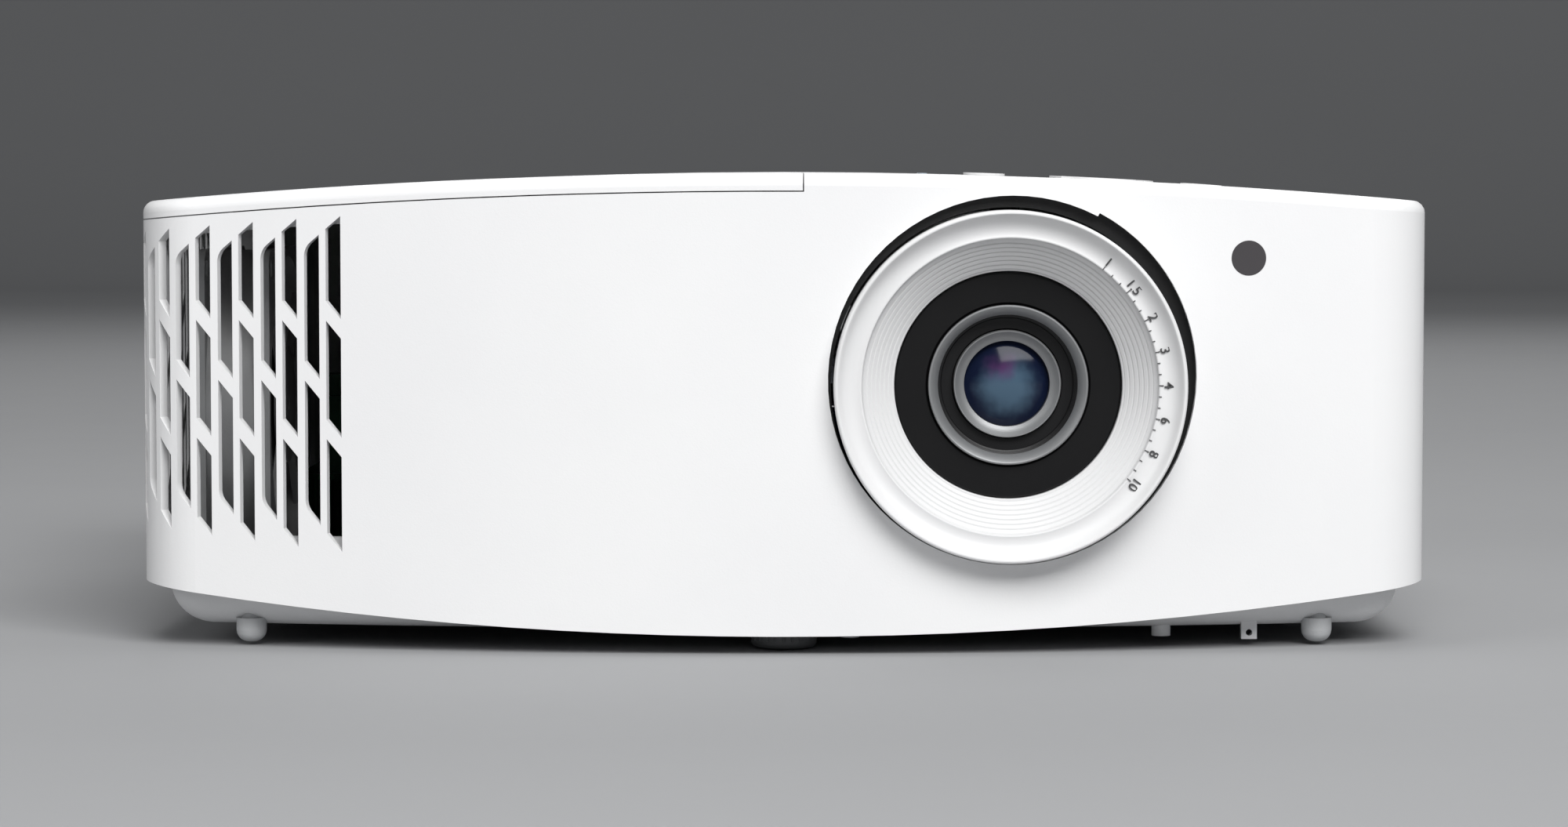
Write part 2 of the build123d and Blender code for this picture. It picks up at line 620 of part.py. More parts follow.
def optical_engine():
    """Cast box that carries the lens, tunnel, relay lens, mirror and chip."""
    x, y, z = ENGINE_X, ENGINE_Y, ENGINE_Z
    block = box(x, y, z)
    block = fillet(block.edges().filter_by(Axis.Z), 5)
    w = ENGINE_WALL
    block -= box((x[0] + w, x[1] - w), (y[0] + w, y[1] - w), (z[0] + w, z[1] + 5))
    legs = [
        cyl_z(lx, ly, (FLOOR_TOP, z[0] + 1), 4.5)
        for lx in (x[0] + 8, x[1] - 4.5) for ly in (y[0] + 8, y[1] - 8)
    ]
    ribs = [
        box((x[1] - 0.5, x[1] + 1.5), (ry, ry + 2), (z[0], z[1] - 6))
        for ry in (-45, -30, -15, 0)
    ]
    seat = tube_y(LENS_X, LENS_Z, (y[0], y[0] + 9), NOSE_R + 3, NOSE_R + HAIR)
    rim = [box((x[0] + w, x[1] - w), (y[0] + w, y[0] + 11), (LENS_Z + 27.5, z[1]))]
    block = fused(block, *legs, *ribs, *rim) + seat
    port = (LIGHT_Y - 4.6, LIGHT_Y + 4.6), (LIGHT_Z - 3.6, LIGHT_Z + 3.6)
    cuts = [
        cyl_y(LENS_X, LENS_Z, (y[0] - 1, y[0] + 12), NOSE_R + HAIR),
        box((x[0] - 1, x[0] + w + 1), *port),
        box((LENS_X - 11, LENS_X + 11), (y[1] - w - 1, y[1] + 1), (LENS_Z - 8, LENS_Z + 8)),
    ]
    for a in range(45, 360, 90):
        hx = LENS_X + 31.5 * math.cos(math.radians(a))
        hz = LENS_Z + 31.5 * math.sin(math.radians(a))
        cuts.append(cyl_y(hx, hz, (y[0] - 1, y[0] + 7), 1.5))
    return block - cuts


def engine_cover():
    """Lid of the engine with its four screws."""
    x, y, z = ENGINE_X, ENGINE_Y, ENGINE_Z[1]
    cover = round_box(x, y, (z, z + 2), 5)
    cover += round_box((x[0] + 9, x[1] - 9), (y[0] + 22, y[1] - 12), (z + 2, z + 3.2), 3)
    screws = [(cx, cy) for cx in (x[0] + 4, x[1] - 4) for cy in (y[0] + 6, y[1] - 5)]
    heads = [
        cyl_z(cx, cy, (z + 2, z + 3.4), 2.6)
        - box((cx - 2, cx + 2), (cy - 0.35, cy + 0.35), (z + 2.8, z + 5))
        for cx, cy in screws
    ]
    return fused(cover, *heads)


def light_tunnel():
    """Hollow glass integrator rod in its clip."""
    outer = box((-4, 34), (LIGHT_Y - 4.5, LIGHT_Y + 4.5), (LIGHT_Z - 3.5, LIGHT_Z + 3.5))
    return outer - box((-5, 35), (LIGHT_Y - 3, LIGHT_Y + 3), (LIGHT_Z - 2, LIGHT_Z + 2))


def relay_optics():
    """Relay lens and its holder, the fold mirror and the prism, standing in the engine."""
    floor = ENGINE_Z[0] + ENGINE_WALL
    lens = Pos(40, LIGHT_Y, LIGHT_Z) * Rot(0, 90, 0) * Cylinder(8, 4)
    lens = fillet(lens.edges(), 1.6)
    foot = box((38.5, 41.5), (LIGHT_Y - 6, LIGHT_Y + 6), (floor, LIGHT_Z - 7))
    mirror = Pos(72, LIGHT_Y - 4, LIGHT_Z) * Rot(0, 0, 45) * Box(2, 18, 20)
    mirror_foot = Pos(72, LIGHT_Y - 4, (floor + LIGHT_Z - 10) / 2) * Rot(0, 0, 45) * Box(
        2, 12, LIGHT_Z - 10 - floor
    )
    prism = make_face(Polyline((-11, -14), (11, -14), (11, 4), close=True))
    prism = extrude(Pos(LENS_X, -8, LENS_Z - 10) * prism, 20)
    prism_foot = box((LENS_X + 3, LENS_X + 9), (-21, -16), (floor, LENS_Z - 10))
    return fused(lens, foot, mirror, mirror_foot, prism, prism_foot)


def dmd_board():
    """Chip board on the engine's back with the chip in its socket."""
    y = DMD_BOARD_Y
    board = box((30, 84), (y, y + 1.6), (38, 92))
    socket = box((LENS_X - 10.8, LENS_X + 10.8), (y - 3, y), (LENS_Z - 7.8, LENS_Z + 7.8))
    window = box((LENS_X - 7, LENS_X + 7), (y - 4, y - 2), (LENS_Z - 4.5, LENS_Z + 4.5))
    parts = [box((32 + 8 * i, 37 + 8 * i), (y + 1.6, y + 3.6), (84, 90)) for i in range(6)]
    return fused(board, socket, window, *parts)


def wheel_motor():
    """Colour wheel motor on its bracket from the tray."""
    x = WHEEL_X
    stator = cyl_x(LIGHT_Y, WHEEL_Z, (x + 3, x + 12), 9.0)
    plate = box((x + 12, x + 14), (LIGHT_Y - 16, LIGHT_Y + 16), (FLOOR_TOP, WHEEL_Z + 12))
    foot = box((x + 2, x + 14), (LIGHT_Y - 16, LIGHT_Y + 16), (FLOOR_TOP, FLOOR_TOP + 2))
    bore = cyl_x(LIGHT_Y, WHEEL_Z, (x + 2, x + 12), 1.55)
    window = box((x - 5, x + 20), (LIGHT_Y - 4.6, LIGHT_Y + 4.6), (LIGHT_Z - 3.6, LIGHT_Z + 3.6))
    return fused(stator, plate, foot) - [bore, window]


def wheel_rotor():
    x = WHEEL_X
    hub = cyl_x(LIGHT_Y, WHEEL_Z, (x - 1.5, x), 10.0)
    hub += cyl_x(LIGHT_Y, WHEEL_Z, (x + 1.1, x + 2.7), 10.0)
    return hub + cyl_x(LIGHT_Y, WHEEL_Z, (x - 1.5, x + 11.5), 1.5)


def wheel_filters():
    """Six coloured glass segments between the hub's two washers."""
    ring = cyl_x(LIGHT_Y, WHEEL_Z, (WHEEL_X + HAIR, WHEEL_X + 1.05), 24.0)
    ring -= cyl_x(LIGHT_Y, WHEEL_Z, (WHEEL_X - 1, WHEEL_X + 2), 1.55)
    for i in range(3):
        ring -= Pos(WHEEL_X, LIGHT_Y, WHEEL_Z) * Rot(60 * i, 0, 0) * Box(4, 60, 0.2)
    return ring


# ---------------------------------------------------------------- lamp module
LAMP_X, LAMP_Y, LAMP_Z = (-100.0, -18.0), (-30.0, 42.0), (12.0, 93.0)
LAMP_SCREWS = ((-95.0, -25.0), (-95.0, 37.0), (-23.0, 37.0))


def lamp_housing():
    """Heat-proof carrier with vents, a light window and a pull handle."""
    x, y, z = LAMP_X, LAMP_Y, LAMP_Z
    shell = round_box(x, y, z, 3) - round_box(
        (x[0] + 2, x[1] - 2), (y[0] + 2, y[1] - 2), (z[0] + 2, z[1] - 2), 2
    )
    handle = box((-76, -42), (LIGHT_Y - 5, LIGHT_Y + 5), (z[1] - 1, z[1] + 11))
    handle = fillet(handle.edges().group_by(Axis.Z)[-1], 3)
    handle -= box((-72, -46), (LIGHT_Y - 9, LIGHT_Y + 9), (z[1], z[1] + 8))
    columns = [cyl_z(cx, cy, z, 5) for cx, cy in LAMP_SCREWS]
    feet = [
        box((fx - 4, fx + 4), (fy - 4, fy + 4), (FLOOR_TOP + HAIR, z[0] + 1))
        for fx in (x[0] + 8, x[1] - 8) for fy in (y[0] + 8, y[1] - 8)
    ]
    whole = fused(shell, handle, *columns, *feet)
    cuts = [cyl_x(LIGHT_Y, LIGHT_Z, (x[1] - 5, x[1] + 5), 22)]
    cuts += [box((vx, vx + 3), (y[0] - 1, y[1] + 1), (30, 78)) for vx in (-92, -85, -78, -71)]
    cuts += [cyl_z(ex, ey, (z[1] - 24, z[1] + 3), 1.7) for ex, ey in LAMP_SCREWS]
    return whole - cuts


def lamp_screws():
    return fused(*[
        pan_screw((x, y, LAMP_Z[1]), Rot(0, 0, 30), 1.6, 20) for x, y in LAMP_SCREWS
    ])


def lamp_reflector():
    """Glass ellipse with its rim towards the light tunnel."""
    rim_x, rim_r, neck_x, neck_r, t = -30.0, 26.5, -72.0, 7.0, 2.5
    outer = Spline((neck_x, neck_r), (-58.0, 21.5), (rim_x, rim_r), tangents=[(0.15, 1), (1, 0.1)])
    inner = Spline(
        (neck_x + t, neck_r), (-56.0, 19.2), (rim_x, rim_r - t), tangents=[(0.15, 1), (1, 0.1)]
    )
    edges = [
        *outer.edges(), *Line((rim_x, rim_r), (rim_x, rim_r - t)).edges(), *inner.edges(),
        *Line((neck_x + t, neck_r), (neck_x, neck_r)).edges(),
    ]
    bowl = revolve(make_face(edges), Axis.X, 360)
    bowl = Pos(0, LIGHT_Y, LIGHT_Z) * bowl
    neck = cyl_x(LIGHT_Y, LIGHT_Z, (-86, neck_x + 1.0), 8.5)
    neck -= cyl_x(LIGHT_Y, LIGHT_Z, (-90, -60), 4.6)
    rim = cyl_x(LIGHT_Y, LIGHT_Z, (rim_x - 3, rim_x), 28.9) - cyl_x(LIGHT_Y, LIGHT_Z, (-40, -20), 24.3)
    return bowl + neck + rim


def lamp_burner():
    """Arc tube: bulb between two sealed stems."""
    stem = cyl_x(LIGHT_Y, LIGHT_Z, (-92, -44), 2.6)
    bulb = Pos(-60, LIGHT_Y, LIGHT_Z) * Sphere(5.2)
    base = cyl_x(LIGHT_Y, LIGHT_Z, (-96, -86), 4.5)
    return fused(stem, bulb, base)


# ---------------------------------------------------------------- fans and speaker
FAN_Z, FAN_SIZE = 56.0, 80.0
INTAKE_X, INTAKE_Y = (-147.5, -127.5), -52.0
EXHAUST_X, EXHAUST_Y = (127.5, 147.5), -10.0
BLADES = 9


def fan_frame(x, y):
    """Square axial fan frame with a hub plate held by four struts."""
    s, z = FAN_SIZE / 2, FAN_Z
    frame = box(x, (y - s, y + s), (z - s, z + s))
    frame = fillet(frame.edges().filter_by(Axis.X), 4)
    frame -= cyl_x(y, z, (x[0] - 1, x[1] + 1), s - 2)
    frame -= tube_x(y, z, (x[0] + 4, x[1] - 4), s * 1.5, s - 0.4)
    inner = x[1] if x[0] < 0 else x[0]
    plate = (inner - 2, inner) if x[0] < 0 else (inner, inner + 2)
    struts = [Pos((plate[0] + plate[1]) / 2, y, z) * Rot(45 + 90 * i, 0, 0) * Pos(0, 25, 0)
              * Box(2, 28, 3) for i in range(4)]
    hub = cyl_x(y, z, plate, 15)
    holes = [cyl_x(y + a * 35.5, z + b * 35.5, (x[0] - 1, x[1] + 1), 2.1)
             for a in (-1, 1) for b in (-1, 1)]
    axle = cyl_x(y, z, (plate[0] - 1, plate[1] + 1), 1.55)
    foot_x = (inner - 13, inner - 3) if x[0] < 0 else (inner + 3, inner + 13)
    feet = [
        box(foot_x, (y + a * 30 - 4, y + a * 30 + 4), (FLOOR_TOP + HAIR, z - s + 1)) for a in (-1, 1)
    ]
    return fused(frame, hub, *struts, *feet) - holes - axle


def tube_x(y, z, x, r_out, r_in):
    return cyl_x(y, z, x, r_out) - cyl_x(y, z, (x[0] - 1, x[1] + 1), r_in)


def fan_rotor(x, y):
    """Hub cup with swept blades and the axle in the hub plate."""
    z, turn = FAN_Z, 1 if x[0] < 0 else -1
    inner = x[1] if x[0] < 0 else x[0]
    body = (x[0] + 1.5, x[1] - 2.6) if x[0] < 0 else (x[0] + 2.6, x[1] - 1.5)
    hub = cyl_x(y, z, body, 15.5)
    hub = fillet(hub.edges(), 1.0)
    axle = cyl_x(y, z, (inner - 2.7, inner - 0.2) if turn > 0 else (inner + 0.2, inner + 2.7), 1.5)
    middle = (body[0] + body[1]) / 2
    blade = Pos(middle, y, z) * Pos(0, 0, 25.5) * Rot(0, 0, 38 * turn) * Box(1.5, 17.0, 22)
    blades = [Pos(0, y, z) * Rot(360 / BLADES * i, 0, 0) * Pos(0, -y, -z) * blade for i in range(BLADES)]
    sweep = cyl_x(y, z, (body[0] + 0.6, body[1] - 0.6), 36.6)
    return fused(hub, axle, *[b & sweep for b in blades])


BLOWER_X, BLOWER_Y, BLOWER_Z = (-92.0, -36.0), (-92.0, -36.0), (46.0, 64.0)


def blower_housing():
    """Flat blower that cools the lamp, on two legs, with its outlet at the back."""
    x, y, z = BLOWER_X, BLOWER_Y, BLOWER_Z
    cx, cy = (x[0] + x[1]) / 2, (y[0] + y[1]) / 2
    case = round_box(x, y, z, 8) - cyl_z(cx, cy, (z[0] + 2, z[1] - 2), 24.5)
    case -= cyl_z(cx, cy, (z[1] - 3, z[1] + 1), 16)
    case -= box((cx + 4, cx + 23), (cy, y[1] + 1), (z[0] + 2, z[1] - 2))
    case -= cyl_z(cx, cy, (z[0] - 1, z[0] + 3), 1.55)
    legs = [cyl_z(lx, cy, (FLOOR_TOP, z[0]), 3.5) for lx in (x[0] + 5, x[1] - 5)]
    return fused(case, *legs)


def blower_rotor():
    x, y, z = BLOWER_X, BLOWER_Y, BLOWER_Z
    cx, cy = (x[0] + x[1]) / 2, (y[0] + y[1]) / 2
    disc = cyl_z(cx, cy, (z[0] + 2.6, z[0] + 4.0), 22.5) + cyl_z(cx, cy, (z[0] + 4, z[1] - 3.2), 9)
    disc += cyl_z(cx, cy, (z[0] + 0.3, z[0] + 3), 1.5)
    vane = Pos(cx, cy, (z[0] + z[1]) / 2 + 0.2) * Pos(19.2, 0, 0) * Rot(0, 0, 35) * Box(6.4, 0.9, 11)
    vanes = [Pos(cx, cy, 0) * Rot(0, 0, 15 * i) * Pos(-cx, -cy, 0) * vane for i in range(24)]
    return fused(disc, *vanes)


# ---------------------------------------------------------------- keys and lights
KEY_RISE = 0.7                   # keys stand this far over the top
KEY_FLANGE = (2.8, 4.2)          # depths of the rim that holds a key under the wall
KEY_STEM_Z = 101.5
SWITCH_TOP = 100.6
KEY_NAMES = ("power", "menu", "enter", "up", "down", "left", "right")


def key_part(name):
    """One key: cap through the top, rim under the wall and stem over its switch."""
    cap = extrude(Pos(0, 0, 60) * key_outlines()[name], 80)
    rim = extrude(Pos(0, 0, 60) * key_outlines(0.6)[name], 80)
    cap = cap & slab(-KEY_RISE, KEY_FLANGE[1])
    rim = rim & slab(*KEY_FLANGE)
    x, y = key_middle(name)
    return cap + rim + cyl_z(x, y, (KEY_STEM_Z, TOP_Z - 5), 2.0)


def key_middle(name):
    steps = {"right": (1, 0), "up": (0, 1), "left": (-1, 0), "down": (0, -1)}
    if name in steps:
        dx, dy = steps[name]
        return KEY_X + 11.7 * dx, KEY_Y + 11.7 * dy
    middle = key_outlines()[name].center()
    return middle.X, middle.Y


def keypad_board():
    """Board under the keys with a small switch under each stem."""
    board = round_box(KEYPAD_X, KEYPAD_Y, KEYPAD_Z, 2)
    board -= [cyl_z(x, y, (90, 105), STAKE_R + 0.1) for x, y in KEYPAD_STAKES]
    switches = []
    for name in KEY_NAMES:
        x, y = key_middle(name)
        switches.append(box((x - 3, x + 3), (y - 3, y + 3), (KEYPAD_Z[1], SWITCH_TOP - 0.5)))
        switches.append(cyl_z(x, y, (KEYPAD_Z[1], SWITCH_TOP), 1.7))
    return fused(board, *switches)


def status_lights():
    """Three light pipes from the board to the top."""
    pipes = []
    for dy in LIGHT_STEPS:
        x, y = KEY_X - 52, KEY_Y + dy
        pipe = cyl_z(x, y, (KEYPAD_Z[1] + HAIR, TOP_Z + 5), 1.25)
        pipes.append(pipe + cyl_z(x, y, (KEYPAD_Z[1] + HAIR, top_z(x) - WALL - 1.5), 2.0))
    return fused(*pipes) & crown(-0.2)


# ---------------------------------------------------------------- rear panel and sockets
PANEL_SKIN = (132.4, BACK_Y)
LIP_REACH = 3.3                  # how far the panel's lip goes behind the case wall
BOARD_Z = (30.0, 31.6)
INLET_X, INLET_Z = -112.0, 46.0
INLET_W, INLET_H = 29.0, 22.0
HDMI_X = (-44.0, -16.0)
USB_X = 52.0
LOW_SOCKET_Z = 35.4
VGA_X, VGA_Z = 18.0, 38.4
JACK_X = (78.0, 94.0)
JACK_Z, JACK_BODY_R, JACK_BORE_R = 38.0, 4.0, 1.8
SOCKET_Y = (119.0, 134.4)
LOCK_X, LOCK_Z = 126.0, 30.0


def rear_panel():
    """Connector panel with a lip behind the case wall."""
    skin = box((PANEL_X[0] + GAP, PANEL_X[1] - GAP), PANEL_SKIN, (0, PANEL_Z[1] - GAP)) & case_block()
    lip = box(
        (PANEL_X[0] - LIP_REACH, PANEL_X[1] + LIP_REACH), (130.4, 132.45),
        (PANEL_Z[0] + 2, PANEL_Z[1] + LIP_REACH),
    )
    panel = skin + lip
    y = (BACK_Y - 8, BACK_Y + 4)
    cuts = [
        box((INLET_X - INLET_W / 2 - HAIR, INLET_X + INLET_W / 2 + HAIR), y,
            (INLET_Z - INLET_H / 2 - HAIR, INLET_Z + INLET_H / 2 + HAIR)),
        box((USB_X - 7.2, USB_X + 7.2), y, (LOW_SOCKET_Z - 3.7, LOW_SOCKET_Z + 3.7)),
        box((VGA_X - 16, VGA_X + 16), y, (VGA_Z - 6.7, VGA_Z + 6.7)),
        box((LOCK_X - 3.5, LOCK_X + 3.5), y, (LOCK_Z - 1.5, LOCK_Z + 1.5)),
    ]
    cuts += [box((x - 7.8, x + 7.8), y, (LOW_SOCKET_Z - 3.7, LOW_SOCKET_Z + 3.7)) for x in HDMI_X]
    cuts += [cyl_y(x, JACK_Z, y, JACK_BODY_R + HAIR) for x in JACK_X]
    cuts += [
        box((x, x + 3), y, (58, 82)) for x in [-60 + 7.0 * i for i in range(19)]
    ]
    return panel - cuts


def ac_inlet():
    """Mains inlet: a deep shroud with three blades and two fixing ears behind the panel."""
    y0, y1 = 112.0, BACK_Y
    x, z = INLET_X, INLET_Z
    body = box((x - INLET_W / 2, x + INLET_W / 2), (y0, y1), (z - INLET_H / 2, z + INLET_H / 2))
    body += box((x - 21, x + 21), (127.5, 130.35), (z - 9, z + 9))
    outline = make_face(Polyline(
        (-12.2, -8), (12.2, -8), (12.2, 3.4), (7.6, 8), (-7.6, 8), (-12.2, 3.4), close=True
    ))
    cavity = Pos(x, y1 + 1, z) * extrude(Plane.XZ * outline, 18)
    body -= cavity if cavity.bounding_box().min.Y < y1 else cavity.mirror(Plane.XZ)
    blades = [box((x + dx - 1, x + dx + 1), (y0 + 4, y1 - 4), (z + dz - 2, z + dz + 2))
              for dx, dz in ((-7, -1.5), (7, -1.5), (0, 2.5))]
    return fused(body, *blades)


def socket_shell(x, z, width, height, tongue):
    """A sheet metal socket with a plastic tongue, open to the back."""
    y0, y1 = SOCKET_Y
    shell = box((x - width / 2, x + width / 2), (y0, y1), (z - height / 2, z + height / 2))
    w, h = width / 2 - 0.5, height / 2 - 0.5
    shell -= box((x - w, x + w), (y0 + 2, y1 + 1), (z - h, z + h))
    t, low, high = tongue
    return shell + box((x - t, x + t), (y0 + 1, y1 - 2), (z + low, z + high))


def digital_sockets():
    """Two HDMI sockets and a USB socket on the main board."""
    low, h = BOARD_Z[1] + HAIR, LOW_SOCKET_Z
    sockets = [socket_shell(x, h, 15.2, 6.8, (5, -0.7, 0.7)) for x in HDMI_X]
    sockets.append(socket_shell(USB_X, h, 14.0, 7.0, (5.6, 0.4, 2.4)))
    feet = [box((x - 6, x + 6), (SOCKET_Y[0], SOCKET_Y[0] + 6), (low, h - 3)) for x in (*HDMI_X, USB_X)]
    return fused(*sockets, *feet)


def vga_socket():
    """Fifteen-pin video socket with its two hexagonal nuts."""
    y0, y1 = SOCKET_Y
    low = BOARD_Z[1] + HAIR
    plate = box((VGA_X - 15.4, VGA_X + 15.4), (y1 - 3, y1 - 1.8), (VGA_Z - 6.2, VGA_Z + 6.2))
    body = box((VGA_X - 9, VGA_X + 9), (y0, 130.3), (low, VGA_Z + 5))
    outline = make_face(Polyline((-8.4, 4.0), (8.4, 4.0), (7.0, -4.0), (-7.0, -4.0), close=True))
    outline = fillet(outline.vertices(), 1.6)
    face = Plane(origin=(VGA_X, BACK_Y, VGA_Z), x_dir=(1, 0, 0), z_dir=(0, -1, 0))
    shroud = extrude(face * outline, 5)
    pins = [
        cyl_y(VGA_X + (i - 2) * 2.3 + 0.6 * (row % 2), VGA_Z + (row - 1) * 2.3, (y1 - 4, y1 + 3), 0.55)
        for i in range(5) for row in range(3)
    ]
    nut_face = Plane(origin=(0, y1, 0), x_dir=(1, 0, 0), z_dir=(0, -1, 0))
    nuts = [
        extrude(nut_face * Pos(VGA_X + dx, VGA_Z) * RegularPolygon(2.6, 6), 2.5) for dx in (-12.5, 12.5)
    ]
    holes = [cyl_y(VGA_X + dx, VGA_Z, (y1 - 1.6, y1 + 2), 1.3) for dx in (-12.5, 12.5)]
    return fused(plate, body, shroud, *nuts) - pins - holes


def audio_jacks():
    """Two audio jacks in one block on the main board."""
    y0, y1 = SOCKET_Y
    block = box((JACK_X[0] - 6, JACK_X[1] + 6), (y0, 130.3), (BOARD_Z[1] + HAIR, JACK_Z + 6))
    collars = [cyl_y(x, JACK_Z, (129, BACK_Y), JACK_BODY_R) for x in JACK_X]
    bores = [cyl_y(x, JACK_Z, (y0 + 1.5, y1 + 3), JACK_BORE_R) for x in JACK_X]
    return fused(block, *collars) - bores


def main_board():
    """Signal board on its pillars, with chips, coolers and capacitors."""
    x, y, z = (-70.0, 112.0), (60.0, 126.0), BOARD_Z
    board = box(x, y, z)
    pillars = [cyl_z(px, py, (FLOOR_TOP, z[0]), 3) for px in (x[0] + 5, x[1] - 5)
               for py in (y[0] + 8, y[1] - 13)]
    low = z[1]
    chips = [
        box((-34, -10), (72, 96), (low, low + 2)), box((20, 34), (74, 88), (low, low + 1.4)),
        box((40, 54), (74, 88), (low, low + 1.4)), box((70, 100), (66, 70), (low, low + 8)),
    ]
    fins = [box((-33 + 3.2 * i, -31.8 + 3.2 * i), (73, 95), (low + 2, low + 12)) for i in range(7)]
    cans = [cyl_z(76 + 9.0 * i, 82, (low, low + 9), 3.2) for i in range(3)]
    cans += [cyl_z(-58, 70 + 9.0 * i, (low, low + 12), 3.8) for i in range(4)]
    return fused(board, *pillars, *chips, *fins, *cans)


def power_supply():
    """Mains supply board with transformer, big capacitor and cooling plates."""
    x, y, z = (-138.0, -78.0), (60.0, 126.0), (28.0, 29.6)
    board = box(x, y, z)
    pillars = [cyl_z(px, py, (FLOOR_TOP, z[0]), 3) for px in (x[0] + 5, x[1] - 5)
               for py in (y[0] + 8, y[1] - 13)]
    low = z[1]
    parts = [
        box((-132, -108), (64, 84), (low, low + 22)), box((-131, -109), (68, 80), (low, low + 28)),
        cyl_z(-94, 74, (low, low + 30), 9), cyl_z(-86, 92, (low, low + 16), 5),
        box((-104, -102), (64, 96), (low, low + 34)), box((-134, -114), (94, 96), (low, low + 26)),
    ]
    return fused(board, *pillars, *parts)


# ---------------------------------------------------------------- export
PARTS = {
    "upper_shell": upper_shell,
    "base_tray": base_tray,
    "rear_panel": rear_panel,
    "lamp_cover": lamp_cover,
    "cover_screw": cover_screw,
    "case_screws": case_screws,
    "mount_inserts": mount_inserts,
    "corner_bumpers": corner_bumpers,
    "ir_window": ir_window,
    "lens_liner": lens_liner,
    "focus_ring": focus_ring,
    "front_barrel": front_barrel,
    "barrel_trim": barrel_trim,
    "lens_cell": lens_cell,
    "front_glass": front_glass,
    "zoom_ring": zoom_ring,
    "zoom_cell": zoom_cell,
    "zoom_glass": zoom_glass,
    "lens_tube": lens_tube,
    "rear_glass": rear_glass,
    "lens_screws": lens_screws,
    "optical_engine": optical_engine,
    "engine_cover": engine_cover,
    "light_tunnel": light_tunnel,
    "relay_optics": relay_optics,
    "dmd_board": dmd_board,
    "wheel_motor": wheel_motor,
    "wheel_rotor": wheel_rotor,
    "wheel_filters": wheel_filters,
    "lamp_housing": lamp_housing,
    "lamp_screws": lamp_screws,
    "lamp_reflector": lamp_reflector,
    "lamp_burner": lamp_burner,
    "blower_housing": blower_housing,
    "blower_rotor": blower_rotor,
    "keypad_board": keypad_board,
    "status_lights": status_lights,
    "ac_inlet": ac_inlet,
    "digital_sockets": digital_sockets,
    "vga_socket": vga_socket,
    "audio_jacks": audio_jacks,
    "main_board": main_board,
    "power_supply": power_supply,
}
FANS = {"intake": (INTAKE_X, INTAKE_Y), "exhaust": (EXHAUST_X, EXHAUST_Y)}
FEET = {
    "front": (*FRONT_FOOT, 8.0), "rear_left": (*REAR_FEET[0], 7.0), "rear_right": (*REAR_FEET[1], 7.0)
}

os.makedirs("parts", exist_ok=True)
for name, build in PARTS.items():
    export_step(build(), f"parts/{name}.step")
for name in KEY_NAMES:
    export_step(key_part(name), f"parts/key_{name}.step")
for name, place in FANS.items():
    export_step(fan_frame(*place), f"parts/{name}_fan_frame.step")
    export_step(fan_rotor(*place), f"parts/{name}_rotor.step")
for name, (x, y, r) in FEET.items():
    export_step(foot_stem(x, y), f"parts/foot_stem_{name}.step")
    export_step(foot_pad(x, y, r), f"parts/foot_pad_{name}.step")
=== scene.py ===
import json
import math
import bpy
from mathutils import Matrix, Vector


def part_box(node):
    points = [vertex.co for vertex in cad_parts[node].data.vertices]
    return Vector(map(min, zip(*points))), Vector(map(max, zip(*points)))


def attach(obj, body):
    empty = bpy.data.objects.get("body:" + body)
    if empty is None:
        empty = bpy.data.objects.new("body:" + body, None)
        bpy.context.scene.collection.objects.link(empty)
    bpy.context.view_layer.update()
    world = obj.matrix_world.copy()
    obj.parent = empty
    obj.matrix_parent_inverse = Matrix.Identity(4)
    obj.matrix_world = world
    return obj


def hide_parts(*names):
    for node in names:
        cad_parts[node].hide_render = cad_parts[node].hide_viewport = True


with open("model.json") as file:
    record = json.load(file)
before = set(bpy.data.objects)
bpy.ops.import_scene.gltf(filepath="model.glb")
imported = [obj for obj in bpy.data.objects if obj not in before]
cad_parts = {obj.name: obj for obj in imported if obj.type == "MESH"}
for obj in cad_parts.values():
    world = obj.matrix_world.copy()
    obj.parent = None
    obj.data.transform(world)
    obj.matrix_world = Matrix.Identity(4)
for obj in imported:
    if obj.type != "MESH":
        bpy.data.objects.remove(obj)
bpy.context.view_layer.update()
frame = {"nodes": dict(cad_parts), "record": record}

mm = 0.001
nodes = frame["nodes"]

shot = {
    "place": (0.0, -1.1295, 0.1165),
    "pitch": -3.35,  # degrees, downwards
    "lens": 96.2,
    "sensor": 36.0,
}


# picking and shaping helpers
def clearPick():
    if bpy.context.object and bpy.context.object.mode != "OBJECT":
        bpy.ops.object.mode_set(mode="OBJECT")
    bpy.ops.object.select_all(action="DESELECT")


def pickOnly(*things):
    clearPick()
    for thing in things:
        thing.select_set(True)
    bpy.context.view_layer.objects.active = things[0]


def settle(piece):
    # place and turn go into the mesh, the object goes to the origin
    pickOnly(piece)
    bpy.ops.object.transform_apply(location=True, rotation=True, scale=True)


def editOn(piece, kind="FACE"):
    pickOnly(piece)
    bpy.ops.object.mode_set(mode="EDIT")
    bpy.ops.mesh.select_mode(type=kind)


def editOff():
    bpy.ops.object.mode_set(mode="OBJECT")


def smoothed(piece, angle=32):
    pickOnly(piece)
    bpy.ops.object.shade_smooth_by_angle(angle=math.radians(angle))


def dressed(piece, body, finish, stands=()):
    piece.data.materials.clear()
    piece.data.materials.append(finish)
    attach(piece, body)
    if stands:
        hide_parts(*stands)
    return piece


